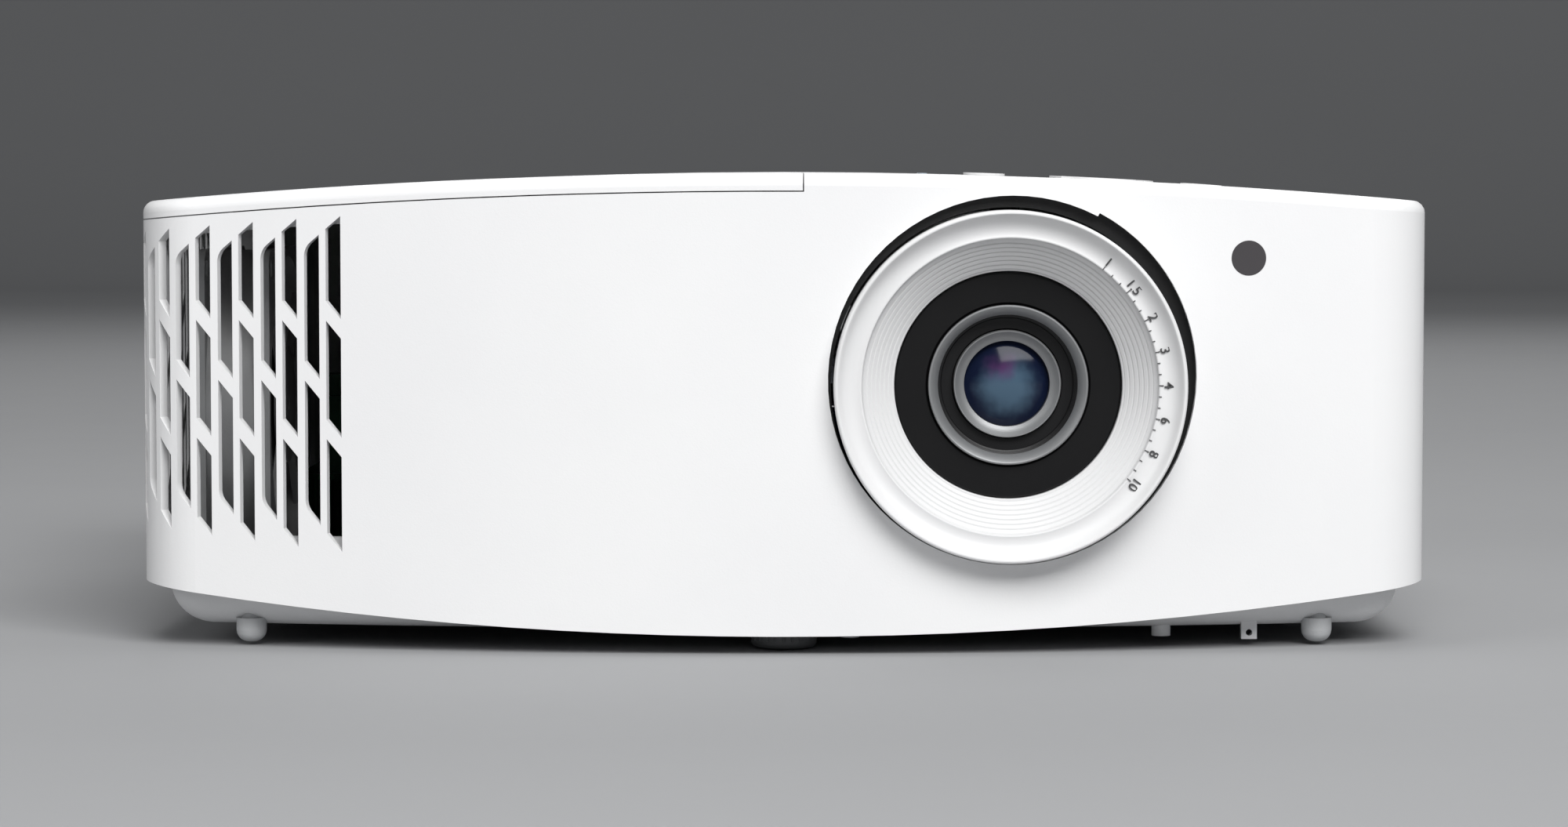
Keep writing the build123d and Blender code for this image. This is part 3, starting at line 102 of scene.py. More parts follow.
def turned(name, profile, x, z, steps=160, capped=False, closed=False):
    # a ring of edges drawn out along (y, radius) points round an axis along Y
    clearPick()
    y0, r0 = profile[0]
    bpy.ops.mesh.primitive_circle_add(
        vertices=steps,
        radius=r0 * mm,
        fill_type="NGON" if capped else "NOTHING",
        location=(x * mm, y0 * mm, z * mm),
        rotation=(math.pi / 2, 0, 0),
    )
    piece = bpy.context.object
    piece.name = name
    editOn(piece, "EDGE")
    bpy.ops.mesh.select_all(action="SELECT")
    route = profile[1:] + ([profile[0]] if closed else [])
    for y1, r1 in route:
        bpy.ops.mesh.extrude_edges_move(
            TRANSFORM_OT_translate={"value": (0, (y1 - y0) * mm, 0), "orient_type": "GLOBAL"}
        )
        if abs(r1 - r0) > 1e-9:
            bpy.ops.transform.resize(
                value=(r1 / r0, 1, r1 / r0),
                orient_type="GLOBAL",
                center_override=(x * mm, y1 * mm, z * mm),
            )
        y0, r0 = y1, r1
    if capped:
        bpy.ops.mesh.edge_face_add()
    bpy.ops.mesh.select_all(action="SELECT")
    bpy.ops.mesh.remove_doubles(threshold=1e-6)
    bpy.ops.mesh.normals_make_consistent(inside=False)
    editOff()
    settle(piece)
    smoothed(piece)
    return piece


# shared effects, as node groups
def newGroup(name, inputs, outputs):
    group = bpy.data.node_groups.new(name, "ShaderNodeTree")
    for label, kind, value in inputs:
        socket = group.interface.new_socket(label, in_out="INPUT", socket_type=kind)
        if value is not None:
            socket.default_value = value
    for label, kind in outputs:
        group.interface.new_socket(label, in_out="OUTPUT", socket_type=kind)
    return group, group.nodes.new("NodeGroupInput"), group.nodes.new("NodeGroupOutput")


def node(tree, kind, **settings):
    made = tree.nodes.new(kind)
    for key, value in settings.items():
        if key in made.inputs:
            made.inputs[key].default_value = value
        else:
            setattr(made, key, value)
    return made


def maths(tree, operation, first, second=None, clamp=False):
    made = node(tree, "ShaderNodeMath", operation=operation, use_clamp=clamp)
    for index, value in enumerate((first, second)):
        if value is None:
            continue
        if isinstance(value, (int, float)):
            made.inputs[index].default_value = value
        else:
            tree.links.new(value, made.inputs[index])
    return made.outputs[0]


def makeMouldGrain():
    # fine texture of a moulded or cast skin
    group, source, sink = newGroup(
        "mouldGrain",
        [("Vector", "NodeSocketVector", None), ("Scale", "NodeSocketFloat", 2500.0),
         ("Pits", "NodeSocketFloat", 0.4)],
        [("Height", "NodeSocketFloat")],
    )
    noise = node(group, "ShaderNodeTexNoise", Detail=3.0, Roughness=0.6)
    cells = node(group, "ShaderNodeTexVoronoi", feature="SMOOTH_F1")
    for texture in (noise, cells):
        group.links.new(source.outputs["Vector"], texture.inputs["Vector"])
        group.links.new(source.outputs["Scale"], texture.inputs["Scale"])
    pits = maths(group, "MULTIPLY", cells.outputs["Distance"], source.outputs["Pits"])
    group.links.new(maths(group, "ADD", noise.outputs["Fac"], pits), sink.inputs["Height"])
    return group


def makeToneDrift():
    # slow change of colour across a piece
    group, source, sink = newGroup(
        "toneDrift",
        [("Vector", "NodeSocketVector", None), ("Color", "NodeSocketColor", (0.8, 0.8, 0.8, 1)),
         ("Other", "NodeSocketColor", (0.7, 0.7, 0.7, 1)), ("Scale", "NodeSocketFloat", 14.0)],
        [("Color", "NodeSocketColor")],
    )
    noise = node(group, "ShaderNodeTexNoise", Detail=4.0, Roughness=0.55)
    group.links.new(source.outputs["Vector"], noise.inputs["Vector"])
    group.links.new(source.outputs["Scale"], noise.inputs["Scale"])
    ramp = node(group, "ShaderNodeMapRange")
    ramp.inputs["From Min"].default_value, ramp.inputs["From Max"].default_value = 0.35, 0.7
    group.links.new(noise.outputs["Fac"], ramp.inputs["Value"])
    mix = node(group, "ShaderNodeMix", data_type="RGBA")
    group.links.new(ramp.outputs["Result"], mix.inputs["Factor"])
    group.links.new(source.outputs["Color"], mix.inputs[6])
    group.links.new(source.outputs["Other"], mix.inputs[7])
    group.links.new(mix.outputs[2], sink.inputs["Color"])
    return group


def makeSettledDust():
    # dust lies where a face looks up, thicker in patches
    group, source, sink = newGroup(
        "settledDust",
        [("Vector", "NodeSocketVector", None), ("Amount", "NodeSocketFloat", 0.2)],
        [("Mask", "NodeSocketFloat")],
    )
    patches = node(group, "ShaderNodeTexNoise", Scale=30.0, Detail=5.0, Roughness=0.65)
    specks = node(group, "ShaderNodeTexNoise", Scale=900.0, Detail=2.0)
    geometry = node(group, "ShaderNodeNewGeometry")
    split = node(group, "ShaderNodeSeparateXYZ")
    group.links.new(source.outputs["Vector"], patches.inputs["Vector"])
    group.links.new(source.outputs["Vector"], specks.inputs["Vector"])
    group.links.new(geometry.outputs["Normal"], split.inputs[0])
    facing = maths(group, "MULTIPLY", maths(group, "MAXIMUM", split.outputs["Z"], 0.0), 0.9)
    facing = maths(group, "ADD", facing, 0.1)
    both = maths(group, "MULTIPLY", patches.outputs["Fac"], specks.outputs["Fac"])
    mask = maths(group, "MULTIPLY", maths(group, "MULTIPLY", both, facing), 3.0)
    group.links.new(
        maths(group, "MULTIPLY", mask, source.outputs["Amount"], True), sink.inputs["Mask"]
    )
    return group


def makeHandling():
    # roughness that changes with finger marks and fine scuffs
    group, source, sink = newGroup(
        "handling",
        [("Vector", "NodeSocketVector", None), ("Roughness", "NodeSocketFloat", 0.4),
         ("Spread", "NodeSocketFloat", 0.1), ("Scale", "NodeSocketFloat", 22.0)],
        [("Roughness", "NodeSocketFloat")],
    )
    marks = node(group, "ShaderNodeTexNoise", Detail=6.0, Roughness=0.6, Distortion=0.6)
    group.links.new(source.outputs["Vector"], marks.inputs["Vector"])
    group.links.new(source.outputs["Scale"], marks.inputs["Scale"])
    change = maths(group, "MULTIPLY", maths(group, "SUBTRACT", marks.outputs["Fac"], 0.5), 2.0)
    change = maths(group, "MULTIPLY", change, source.outputs["Spread"])
    group.links.new(
        maths(group, "ADD", source.outputs["Roughness"], change, True), sink.inputs["Roughness"]
    )
    return group


def makeTurnedLines():
    # fine circles left by a lathe round the lens axis, or round any axis along Y
    group, source, sink = newGroup(
        "turnedLines",
        [("Vector", "NodeSocketVector", None), ("Centre", "NodeSocketVector", (0.054, 0, 0.0644)),
         ("Pitch", "NodeSocketFloat", 2600.0)],
        [("Height", "NodeSocketFloat")],
    )
    offset = node(group, "ShaderNodeVectorMath", operation="SUBTRACT")
    flat = node(group, "ShaderNodeVectorMath", operation="MULTIPLY")
    flat.inputs[1].default_value = (1, 0, 1)
    length = node(group, "ShaderNodeVectorMath", operation="LENGTH")
    group.links.new(source.outputs["Vector"], offset.inputs[0])
    group.links.new(source.outputs["Centre"], offset.inputs[1])
    group.links.new(offset.outputs[0], flat.inputs[0])
    group.links.new(flat.outputs[0], length.inputs[0])
    lines = node(group, "ShaderNodeTexNoise", noise_dimensions="1D", Detail=4.0)
    group.links.new(
        maths(group, "MULTIPLY", length.outputs["Value"], source.outputs["Pitch"]),
        lines.inputs["W"],
    )
    lines.inputs["Scale"].default_value = 1.0
    group.links.new(lines.outputs["Fac"], sink.inputs["Height"])
    return group


grain, drift, dust = makeMouldGrain(), makeToneDrift(), makeSettledDust()
handling, lathe = makeHandling(), makeTurnedLines()
print("shared effects ready")


# finishes
def placeGroup(tree, group, coords, **values):
    made = tree.nodes.new("ShaderNodeGroup")
    made.node_tree = group
    tree.links.new(coords, made.inputs["Vector"])
    for key, value in values.items():
        made.inputs[key].default_value = value
    return made


def rgba(colour):
    return (*colour, 1.0)


def finishOf(name, look):
    # one material from its settings, with every effect laid out in it
    material = bpy.data.materials.new(name)
    material.use_nodes = True
    tree = material.node_tree
    shader = tree.nodes["Principled BSDF"]
    coords = node(tree, "ShaderNodeTexCoord").outputs["Object"]
    colour = look["colour"]
    other = look.get("other", tuple(0.93 * c for c in colour))
    tone = placeGroup(
        tree, drift, coords, Color=rgba(colour), Other=rgba(other),
        Scale=look.get("driftScale", 14.0),
    )
    base = tone.outputs["Color"]
    if look.get("dust"):
        laid = placeGroup(tree, dust, coords, Amount=look["dust"])
        mix = node(tree, "ShaderNodeMix", data_type="RGBA")
        mix.inputs[7].default_value = rgba(look.get("dustColour", (0.5, 0.48, 0.45)))
        tree.links.new(laid.outputs["Mask"], mix.inputs["Factor"])
        tree.links.new(base, mix.inputs[6])
        base = mix.outputs[2]
    tree.links.new(base, shader.inputs["Base Color"])
    rub = placeGroup(
        tree, handling, coords, Roughness=look["rough"], Spread=look.get("spread", 0.06),
        Scale=look.get("rubScale", 22.0),
    )
    tree.links.new(rub.outputs["Roughness"], shader.inputs["Roughness"])
    if look.get("lathe"):
        skin = placeGroup(tree, lathe, coords, Pitch=look["lathe"])
    else:
        skin = placeGroup(
            tree, grain, coords, Scale=look.get("grain", 2500.0), Pits=look.get("pits", 0.4)
        )
    bump = node(tree, "ShaderNodeBump", Strength=look.get("bump", 0.15), Distance=0.0002)
    tree.links.new(skin.outputs["Height"], bump.inputs["Height"])
    tree.links.new(bump.outputs["Normal"], shader.inputs["Normal"])
    for key, value in look.get("shader", {}).items():
        shader.inputs[key].default_value = value
    return material


looks = {
    "satinCase": {"colour": (0.86, 0.86, 0.86), "other": (0.83, 0.83, 0.835), "rough": 0.42,
                  "grain": 2200.0, "bump": 0.10, "dust": 0.03,
                  "shader": {"Coat Weight": 0.05, "Coat Roughness": 0.3}},
    "panelWhite": {"colour": (0.80, 0.80, 0.80), "rough": 0.5, "grain": 1500.0, "bump": 0.22,
                   "dust": 0.08},
    "tubGrey": {"colour": (0.84, 0.845, 0.85), "other": (0.80, 0.805, 0.81), "rough": 0.5,
                "grain": 1400.0, "bump": 0.25, "dust": 0.08},
    "ringWhite": {"colour": (0.76, 0.76, 0.76), "other": (0.74, 0.74, 0.745), "rough": 0.42,
                  "grain": 3200.0, "bump": 0.06, "dust": 0.03,
                  "shader": {"Coat Weight": 0.05, "Coat Roughness": 0.3}},
    "inkGrey": {"colour": (0.05, 0.05, 0.052), "other": (0.07, 0.07, 0.072), "rough": 0.55,
                "bump": 0.1},
    "blackSatin": {"colour": (0.004, 0.004, 0.0045), "other": (0.007, 0.007, 0.007), "rough": 0.5,
                   "grain": 2600.0, "bump": 0.12, "dust": 0.01,
                   "shader": {"Specular IOR Level": 0.3}},
    "blackFace": {"colour": (0.003, 0.003, 0.0035), "other": (0.005, 0.005, 0.0055), "rough": 0.42,
                  "lathe": 1800.0, "bump": 0.05, "dust": 0.01,
                  "shader": {"Specular IOR Level": 0.25}},
    "barrelBlack": {"colour": (0.004, 0.004, 0.0045), "other": (0.007, 0.007, 0.008), "rough": 0.36,
                    "lathe": 3000.0, "bump": 0.12, "dust": 0.01,
                    "shader": {"Specular IOR Level": 0.35}},
    "anodised": {"colour": (0.30, 0.305, 0.31), "other": (0.26, 0.265, 0.27), "rough": 0.5,
                 "lathe": 5200.0, "bump": 0.15,
                 "shader": {"Metallic": 0.6}},
    "irWindow": {"colour": (0.055, 0.052, 0.055), "other": (0.065, 0.06, 0.064), "rough": 0.22,
                 "grain": 3000.0, "bump": 0.02, "shader": {"Coat Weight": 0.4}},
    "footGrey": {"colour": (0.15, 0.155, 0.16), "rough": 0.5, "grain": 1600.0, "bump": 0.3,
                 "dust": 0.15},
    "bumperRubber": {"colour": (0.52, 0.53, 0.54), "rough": 0.6, "grain": 1800.0, "bump": 0.3,
                     "dust": 0.1},
    "threadBlack": {"colour": (0.03, 0.03, 0.032), "rough": 0.45, "bump": 0.2, "dust": 0.1},
    "zincSteel": {"colour": (0.55, 0.55, 0.56), "rough": 0.3, "grain": 4000.0, "bump": 0.12,
                  "shader": {"Metallic": 1.0}},
    "turnedBrass": {"colour": (0.62, 0.45, 0.18), "rough": 0.3, "grain": 4000.0, "bump": 0.15,
                    "shader": {"Metallic": 1.0}},
    "keyWhite": {"colour": (0.8, 0.8, 0.8), "rough": 0.36, "grain": 2800.0, "bump": 0.08,
                 "dust": 0.05},
    "castAlloy": {"colour": (0.42, 0.42, 0.43), "other": (0.34, 0.34, 0.35), "rough": 0.45,
                  "grain": 700.0, "pits": 0.9, "bump": 0.5, "shader": {"Metallic": 0.9}},
    "fanGrey": {"colour": (0.36, 0.365, 0.37), "rough": 0.5, "grain": 1500.0, "bump": 0.2,
                "dust": 0.25},
    "fanBlack": {"colour": (0.02, 0.02, 0.021), "rough": 0.4, "grain": 1800.0, "bump": 0.2,
                 "dust": 0.25},
    "lampPlastic": {"colour": (0.03, 0.03, 0.032), "rough": 0.55, "grain": 900.0, "bump": 0.4,
                    "dust": 0.2},
    "coldMirror": {"colour": (0.7, 0.74, 0.8), "other": (0.6, 0.66, 0.78), "rough": 0.08,
                   "bump": 0.03, "shader": {"Metallic": 1.0}},
    "tinPlate": {"colour": (0.62, 0.62, 0.62), "rough": 0.25, "grain": 3500.0, "bump": 0.1,
                 "shader": {"Metallic": 1.0}},
    "socketBlue": {"colour": (0.02, 0.06, 0.32), "rough": 0.4, "bump": 0.12, "dust": 0.05},
    "inletBlack": {"colour": (0.02, 0.02, 0.02), "rough": 0.42, "bump": 0.2, "dust": 0.08},
    "clearGlass": {"colour": (0.9, 0.93, 0.95), "rough": 0.03, "spread": 0.02, "bump": 0.0,
                   "shader": {"Transmission Weight": 1.0, "IOR": 1.5}},
    "filterGlass": {"colour": (0.8, 0.25, 0.2), "other": (0.15, 0.3, 0.85), "rough": 0.06,
                    "driftScale": 40.0, "shader": {"Transmission Weight": 0.6, "Metallic": 0.2}},
    "lightPipe": {"colour": (0.75, 0.85, 0.95), "rough": 0.3, "bump": 0.05,
                  "shader": {"Transmission Weight": 0.5, "IOR": 1.49}},
}
finishes = {name: finishOf(name, look) for name, look in looks.items()}


def frontGlassFinish():
    # front element: a painted magenta reflection high on the left, blue below that is partly the
    # coating's own tint and partly painted reflection, and painted shade darkening the rim
    glass = {"paintedReflectionViolet": (0.085, 0.035, 0.11), "blueTintAndPaintedReflection": (0.06, 0.105, 0.155),
             "rim": (0.005, 0.009, 0.028), "rough": 0.13}
    material = bpy.data.materials.new("coatedGlass")
    material.use_nodes = True
    tree = material.node_tree
    shader = tree.nodes["Principled BSDF"]
    coords = node(tree, "ShaderNodeTexCoord").outputs["Object"]
    middle = (0.054, 0, 0.0644)
    mapped = node(tree, "ShaderNodeMapping")
    mapped.inputs["Location"].default_value = tuple(-v for v in middle)
    tree.links.new(coords, mapped.inputs["Vector"])
    flat = node(tree, "ShaderNodeVectorMath", operation="MULTIPLY")
    flat.inputs[1].default_value = (1, 0, 1)
    tree.links.new(mapped.outputs["Vector"], flat.inputs[0])
    # painted reflection: a magenta spot high on the left of the glass, faded out by distance from
    # this point
    paintedReflectionSpot = node(tree, "ShaderNodeVectorMath", operation="DISTANCE")
    paintedReflectionSpot.inputs[1].default_value = (-0.0022, 0, 0.0056)
    tree.links.new(flat.outputs[0], paintedReflectionSpot.inputs[0])
    cloud = node(tree, "ShaderNodeTexNoise", Scale=260.0, Detail=2.0)
    tree.links.new(coords, cloud.inputs["Vector"])
    wobble = maths(tree, "MULTIPLY", maths(tree, "SUBTRACT", cloud.outputs["Fac"], 0.5), 0.004)
    paintedReflectionFade = node(tree, "ShaderNodeMapRange", interpolation_type="SMOOTHSTEP")
    paintedReflectionFade.inputs["From Min"].default_value = 0.0015
    paintedReflectionFade.inputs["From Max"].default_value = 0.0062
    tree.links.new(maths(tree, "ADD", paintedReflectionSpot.outputs["Value"], wobble), paintedReflectionFade.inputs["Value"])
    # blends the painted magenta reflection into the blue, which is coating tint and painted
    # reflection
    tintWithPaintedReflection = node(tree, "ShaderNodeMix", data_type="RGBA")
    tintWithPaintedReflection.inputs[6].default_value = rgba(glass["paintedReflectionViolet"])
    tintWithPaintedReflection.inputs[7].default_value = rgba(glass["blueTintAndPaintedReflection"])
    tree.links.new(paintedReflectionFade.outputs["Result"], tintWithPaintedReflection.inputs["Factor"])
    # painted shade: the glass goes dark towards its rim, by distance from a point just below the
    # middle
    paintedRimShadeDistance = node(tree, "ShaderNodeVectorMath", operation="DISTANCE")
    paintedRimShadeDistance.inputs[1].default_value = (0.0, 0, -0.0008)
    tree.links.new(flat.outputs[0], paintedRimShadeDistance.inputs[0])
    rimFade = node(tree, "ShaderNodeMapRange", interpolation_type="SMOOTHSTEP")
    rimFade.inputs["From Min"].default_value = 0.0030
    rimFade.inputs["From Max"].default_value = 0.0092
    fromMiddle = maths(tree, "ADD", paintedRimShadeDistance.outputs["Value"], wobble)
    tree.links.new(fromMiddle, rimFade.inputs["Value"])
    # mixes the painted rim shade over the glass colour
    edge = node(tree, "ShaderNodeMix", data_type="RGBA")
    edge.inputs[7].default_value = rgba(glass["rim"])
    tree.links.new(rimFade.outputs["Result"], edge.inputs["Factor"])
    tree.links.new(tintWithPaintedReflection.outputs[2], edge.inputs[6])
    tree.links.new(edge.outputs[2], shader.inputs["Base Color"])
    rub = placeGroup(tree, handling, coords, Roughness=glass["rough"], Spread=0.02, Scale=60.0)
    tree.links.new(rub.outputs["Roughness"], shader.inputs["Roughness"])
    shader.inputs["Specular IOR Level"].default_value = 0.18
    return material


def boardFinish():
    # green solder mask with copper tracks under it and pale component tops
    board = {"mask": (0.008, 0.09, 0.03), "track": (0.02, 0.16, 0.06), "rough": 0.35}
    material = bpy.data.materials.new("boardGreen")
    material.use_nodes = True
    tree = material.node_tree
    shader = tree.nodes["Principled BSDF"]
    coords = node(tree, "ShaderNodeTexCoord").outputs["Object"]
    bricks = node(tree, "ShaderNodeTexBrick", Scale=140.0, offset=0.5)
    bricks.inputs["Color1"].default_value = rgba(board["mask"])
    bricks.inputs["Color2"].default_value = rgba((0.01, 0.075, 0.028))
    bricks.inputs["Mortar"].default_value = rgba(board["track"])
    bricks.inputs["Mortar Size"].default_value = 0.05
    tree.links.new(coords, bricks.inputs["Vector"])
    laid = placeGroup(tree, dust, coords, Amount=0.12)
    mix = node(tree, "ShaderNodeMix", data_type="RGBA")
    mix.inputs[7].default_value = rgba((0.4, 0.38, 0.34))
    tree.links.new(laid.outputs["Mask"], mix.inputs["Factor"])
    tree.links.new(bricks.outputs["Color"], mix.inputs[6])
    tree.links.new(mix.outputs[2], shader.inputs["Base Color"])
    rub = placeGroup(tree, handling, coords, Roughness=board["rough"], Spread=0.1, Scale=40.0)
    tree.links.new(rub.outputs["Roughness"], shader.inputs["Roughness"])
    bump = node(tree, "ShaderNodeBump", Strength=0.3, Distance=0.0001)
    tree.links.new(bricks.outputs["Fac"], bump.inputs["Height"])
    tree.links.new(bump.outputs["Normal"], shader.inputs["Normal"])
    return material


finishes["coatedGlass"] = frontGlassFinish()
finishes["boardGreen"] = boardFinish()
print("finishes ready", len(finishes))

# the finish of each material slot of the record
slotFinish = {
    "case_white": "satinCase", "base_grey": "tubGrey", "panel_white": "panelWhite",
    "ring_white": "ringWhite", "black_satin": "blackSatin", "black_gloss": "blackFace",
    "ring_metal": "anodised", "coated_glass": "coatedGlass", "clear_glass": "clearGlass",
    "filter_glass": "filterGlass", "ir_plastic": "irWindow", "foot_grey": "footGrey",
    "bumper_grey": "bumperRubber", "foot_thread": "threadBlack", "steel": "zincSteel",
    "brass": "turnedBrass", "key_white": "keyWhite", "board_green": "boardGreen",
    "light_pipe": "lightPipe", "cast_alloy": "castAlloy", "fan_grey": "fanGrey",
    "fan_black": "fanBlack", "lamp_plastic": "lampPlastic", "reflector": "coldMirror",
    "quartz": "clearGlass", "socket_metal": "tinPlate", "socket_blue": "socketBlue",
    "inlet_black": "inletBlack", "jack_black": "inletBlack",
}
nodeSlot = {part["node"]: part["material_slot"] for part in frame["record"]["subparts"]}
for name, thing in nodes.items():
    finish = finishes[slotFinish[nodeSlot[name]]]
    thing.data.materials.clear()
    thing.data.materials.append(finish)
print("frame nodes dressed", len(nodes))


# lens, turned round the axis through the front opening
axis = {"x": 54.0, "z": 64.4}


def buildFocusRing():
    ring = {
        "skirtBack": -112.2, "outer": 42.18, "lipFront": -134.95, "lipInner": 41.0,
        "gutterY": -131.75, "landOuter": 38.2, "landInner": 35.5, "coneFront": -130.3,
        "coneBack": -122.7, "boreR": 27.72, "grooves": 7, "grooveDepth": 0.75,
    }
    outline = [(ring["skirtBack"], ring["outer"]), (-133.9, ring["outer"]),
               (-134.5, 42.08), (-134.85, 41.86), (ring["lipFront"], 41.6), (-134.93, 41.35),
               (-134.75, 41.12), (-134.4, 40.9), (-133.8, 40.55), (-133.1, 40.1),
               (-132.5, 39.5), (-132.1, 38.8), (-131.85, 38.0), (-131.75, 37.2),
               (-131.85, 36.2), (-131.95, 35.85), (-131.9, 35.6), (-131.7, 35.45)]
    frontY, backY = ring["coneFront"], ring["coneBack"]
    outline.append((frontY - 0.35, 35.3))
    stepY = (backY - frontY) / ring["grooves"]
    stepR = (35.1 - ring["boreR"]) / ring["grooves"]
    for i in range(ring["grooves"]):
        y, r = frontY + i * stepY, 35.1 - i * stepR
        outline += [
            (y, r),
            (y + 0.60 * stepY, r - 0.66 * stepR),
            (y + 0.66 * stepY, r - 0.68 * stepR + ring["grooveDepth"]),
            (y + 0.94 * stepY, r - 0.92 * stepR + ring["grooveDepth"]),
        ]
    outline += [(backY, ring["boreR"]), (backY + 0.3, 27.5), (-114.0, 27.5), (-114.0, 29.8),
                (-120.2, 29.8), (-127.0, 34.8), (-128.2, 36.6), (-127.6, 39.8),
                (-112.2, 39.8)]
    piece = turned("focusRingWhite", outline, axis["x"], axis["z"], steps=192, closed=True)
    smoothed(piece, 24)
    return dressed(piece, "focus_ring", finishes["ringWhite"], ["focus_ring"])


def printedMark(width, height, thick):
    # one flat mark standing up along Z, with a worn edge, to be copied round the scale
    clearPick()
    bpy.ops.mesh.primitive_plane_add(size=1, rotation=(math.pi / 2, 0, 0))
    mark = bpy.context.object
    mark.scale = (width * mm, height * mm, 1)
    settle(mark)
    editOn(mark, "FACE")
    bpy.ops.mesh.select_all(action="SELECT")
    bpy.ops.mesh.extrude_region_move(TRANSFORM_OT_translate={"value": (0, thick * mm, 0)})
    bpy.ops.mesh.select_all(action="SELECT")
    bpy.ops.mesh.normals_make_consistent(inside=False)
    bpy.ops.mesh.bevel(offset=0.02 * mm, segments=1)
    editOff()
    return mark


def onLand(thing, radius, angle, y):
    # carries a mark made upright at the origin to its place on the ring's land
    thing.rotation_euler = (0, math.pi / 2 - angle, 0)
    thing.location = (
        (axis["x"] + radius * math.cos(angle)) * mm,
        y * mm,
        (axis["z"] + radius * math.sin(angle)) * mm,
    )
    settle(thing)


def buildScale():
    # printed distance scale on the ring's land: ticks and plain numbers
    scale = {"y": -132.16, "from": 52.0, "to": -38.0, "ticks": 22, "tickInner": 35.45,
             "long": 1.1, "short": 0.7, "width": 0.2, "thick": 0.42, "numberRadius": 37.75,
             "numberSize": 3.3, "numbers": ("1", "1.5", "2", "3", "4", "6", "8", "10")}
    marks = []
    span = scale["to"] - scale["from"]
    patterns = {h: printedMark(scale["width"], scale[h], scale["thick"]) for h in ("long", "short")}
    for i in range(scale["ticks"]):
        height = "long" if i % 3 == 0 else "short"
        mark = patterns[height].copy()
        mark.data = patterns[height].data.copy()
        bpy.context.scene.collection.objects.link(mark)
        angle = math.radians(scale["from"] + span * i / (scale["ticks"] - 1))
        onLand(mark, scale["tickInner"] + scale[height] / 2, angle, scale["y"])
        marks.append(mark)
    for pattern in patterns.values():
        bpy.data.objects.remove(pattern)
    for i, word in enumerate(scale["numbers"]):
        angle = math.radians(scale["from"] + span * i / (len(scale["numbers"]) - 1))
        clearPick()
        bpy.ops.object.text_add(rotation=(math.pi / 2, 0, 0))
        text = bpy.context.object
        text.data.body = word
        text.data.size = scale["numberSize"] * mm
        text.data.extrude = scale["thick"] / 2 * mm
        text.data.offset = 0.00003
        text.data.align_x, text.data.align_y = "CENTER", "CENTER"
        text.data.resolution_u = 3
        bpy.ops.object.convert(target="MESH")
        settle(bpy.context.object)
        onLand(bpy.context.object, scale["numberRadius"], angle, scale["y"] + scale["thick"] / 2)
        marks.append(bpy.context.object)
    pickOnly(*marks)
    bpy.ops.object.join()
    piece = bpy.context.object
    piece.name = "focusScale"
    settle(piece)
    return dressed(piece, "focus_ring", finishes["inkGrey"])


def buildBarrel():
    # stepped black throat with fine baffle rings
    baffles = []
    y, r = -119.3, 16.95
    for i in range(5):
        baffles += [(y, r), (y + 0.35, r - 0.05), (y + 0.45, r - 0.42), (y + 0.62, r - 0.42)]
        y, r = y + 0.7, r - 0.1
    outline = [(-92.2, 19.4), (-121.5, 19.4), (-121.78, 19.2), (-121.78, 18.75), *baffles,
               (-115.6, 15.9), (-115.5, 13.4), (-114.0, 13.25), (-109.2, 13.2), (-109.0, 9.7),
               (-104.0, 9.7), (-104.0, 16.6), (-92.2, 16.6)]
    piece = turned("frontBarrelBlack", outline, axis["x"], axis["z"], steps=160, closed=True)
    return dressed(piece, "front_group", finishes["barrelBlack"], ["front_barrel"])


def buildTrimRings():
    outer = turned(
        "barrelTrimRing",
        [(-121.75, 19.28), (-122.1, 19.26), (-122.26, 19.1), (-122.28, 18.85), (-122.15, 18.6),
         (-120.1, 16.95), (-119.6, 16.85), (-119.5, 16.95), (-121.6, 18.62)],
        axis["x"], axis["z"], steps=160, closed=True,
    )
    dressed(outer, "front_group", finishes["anodised"], ["barrel_trim"])
    cell = turned(
        "glassCellRing",
        [(-109.3, 13.08), (-117.0, 13.08), (-117.25, 13.0), (-117.38, 12.85), (-117.36, 12.65),
         (-116.9, 12.2), (-116.75, 12.05), (-116.65, 11.95), (-116.2, 11.45), (-115.95, 11.05),
         (-115.9, 10.95), (-115.6, 10.42), (-115.2, 10.38), (-110.5, 10.38), (-110.5, 9.95),
         (-109.3, 9.95)],
        axis["x"], axis["z"], steps=160, closed=True,
    )
    dressed(cell, "front_group", finishes["anodised"], ["lens_cell"])


def arcRise(r, edge, sag):
    # drop of a spherical face at radius r, with sag at the edge
    ball = (edge * edge + sag * sag) / (2 * sag)
    return ball - math.sqrt(ball * ball - r * r)


def buildFrontGlass():
    glass = {"edge": 10.28, "frontY": -116.18, "frontSag": 2.58, "backY": -112.0, "backSag": 1.5,
             "rings": 14, "tip": 0.04}
    radii = [glass["tip"] + (glass["edge"] - glass["tip"]) * i / glass["rings"]
             for i in range(glass["rings"] + 1)]
    front = [(glass["frontY"] + arcRise(r, glass["edge"], glass["frontSag"]), r) for r in radii]
    back = [(glass["backY"] + arcRise(r, glass["edge"], glass["backSag"]), r)
            for r in reversed(radii)]
    piece = turned("frontGlassCoated", front + back, axis["x"], axis["z"], steps=128, capped=True)
    return dressed(piece, "front_group", finishes["coatedGlass"], ["front_glass"])


buildFocusRing()
buildScale()
buildBarrel()
buildTrimRings()
buildFrontGlass()
print("lens ready")


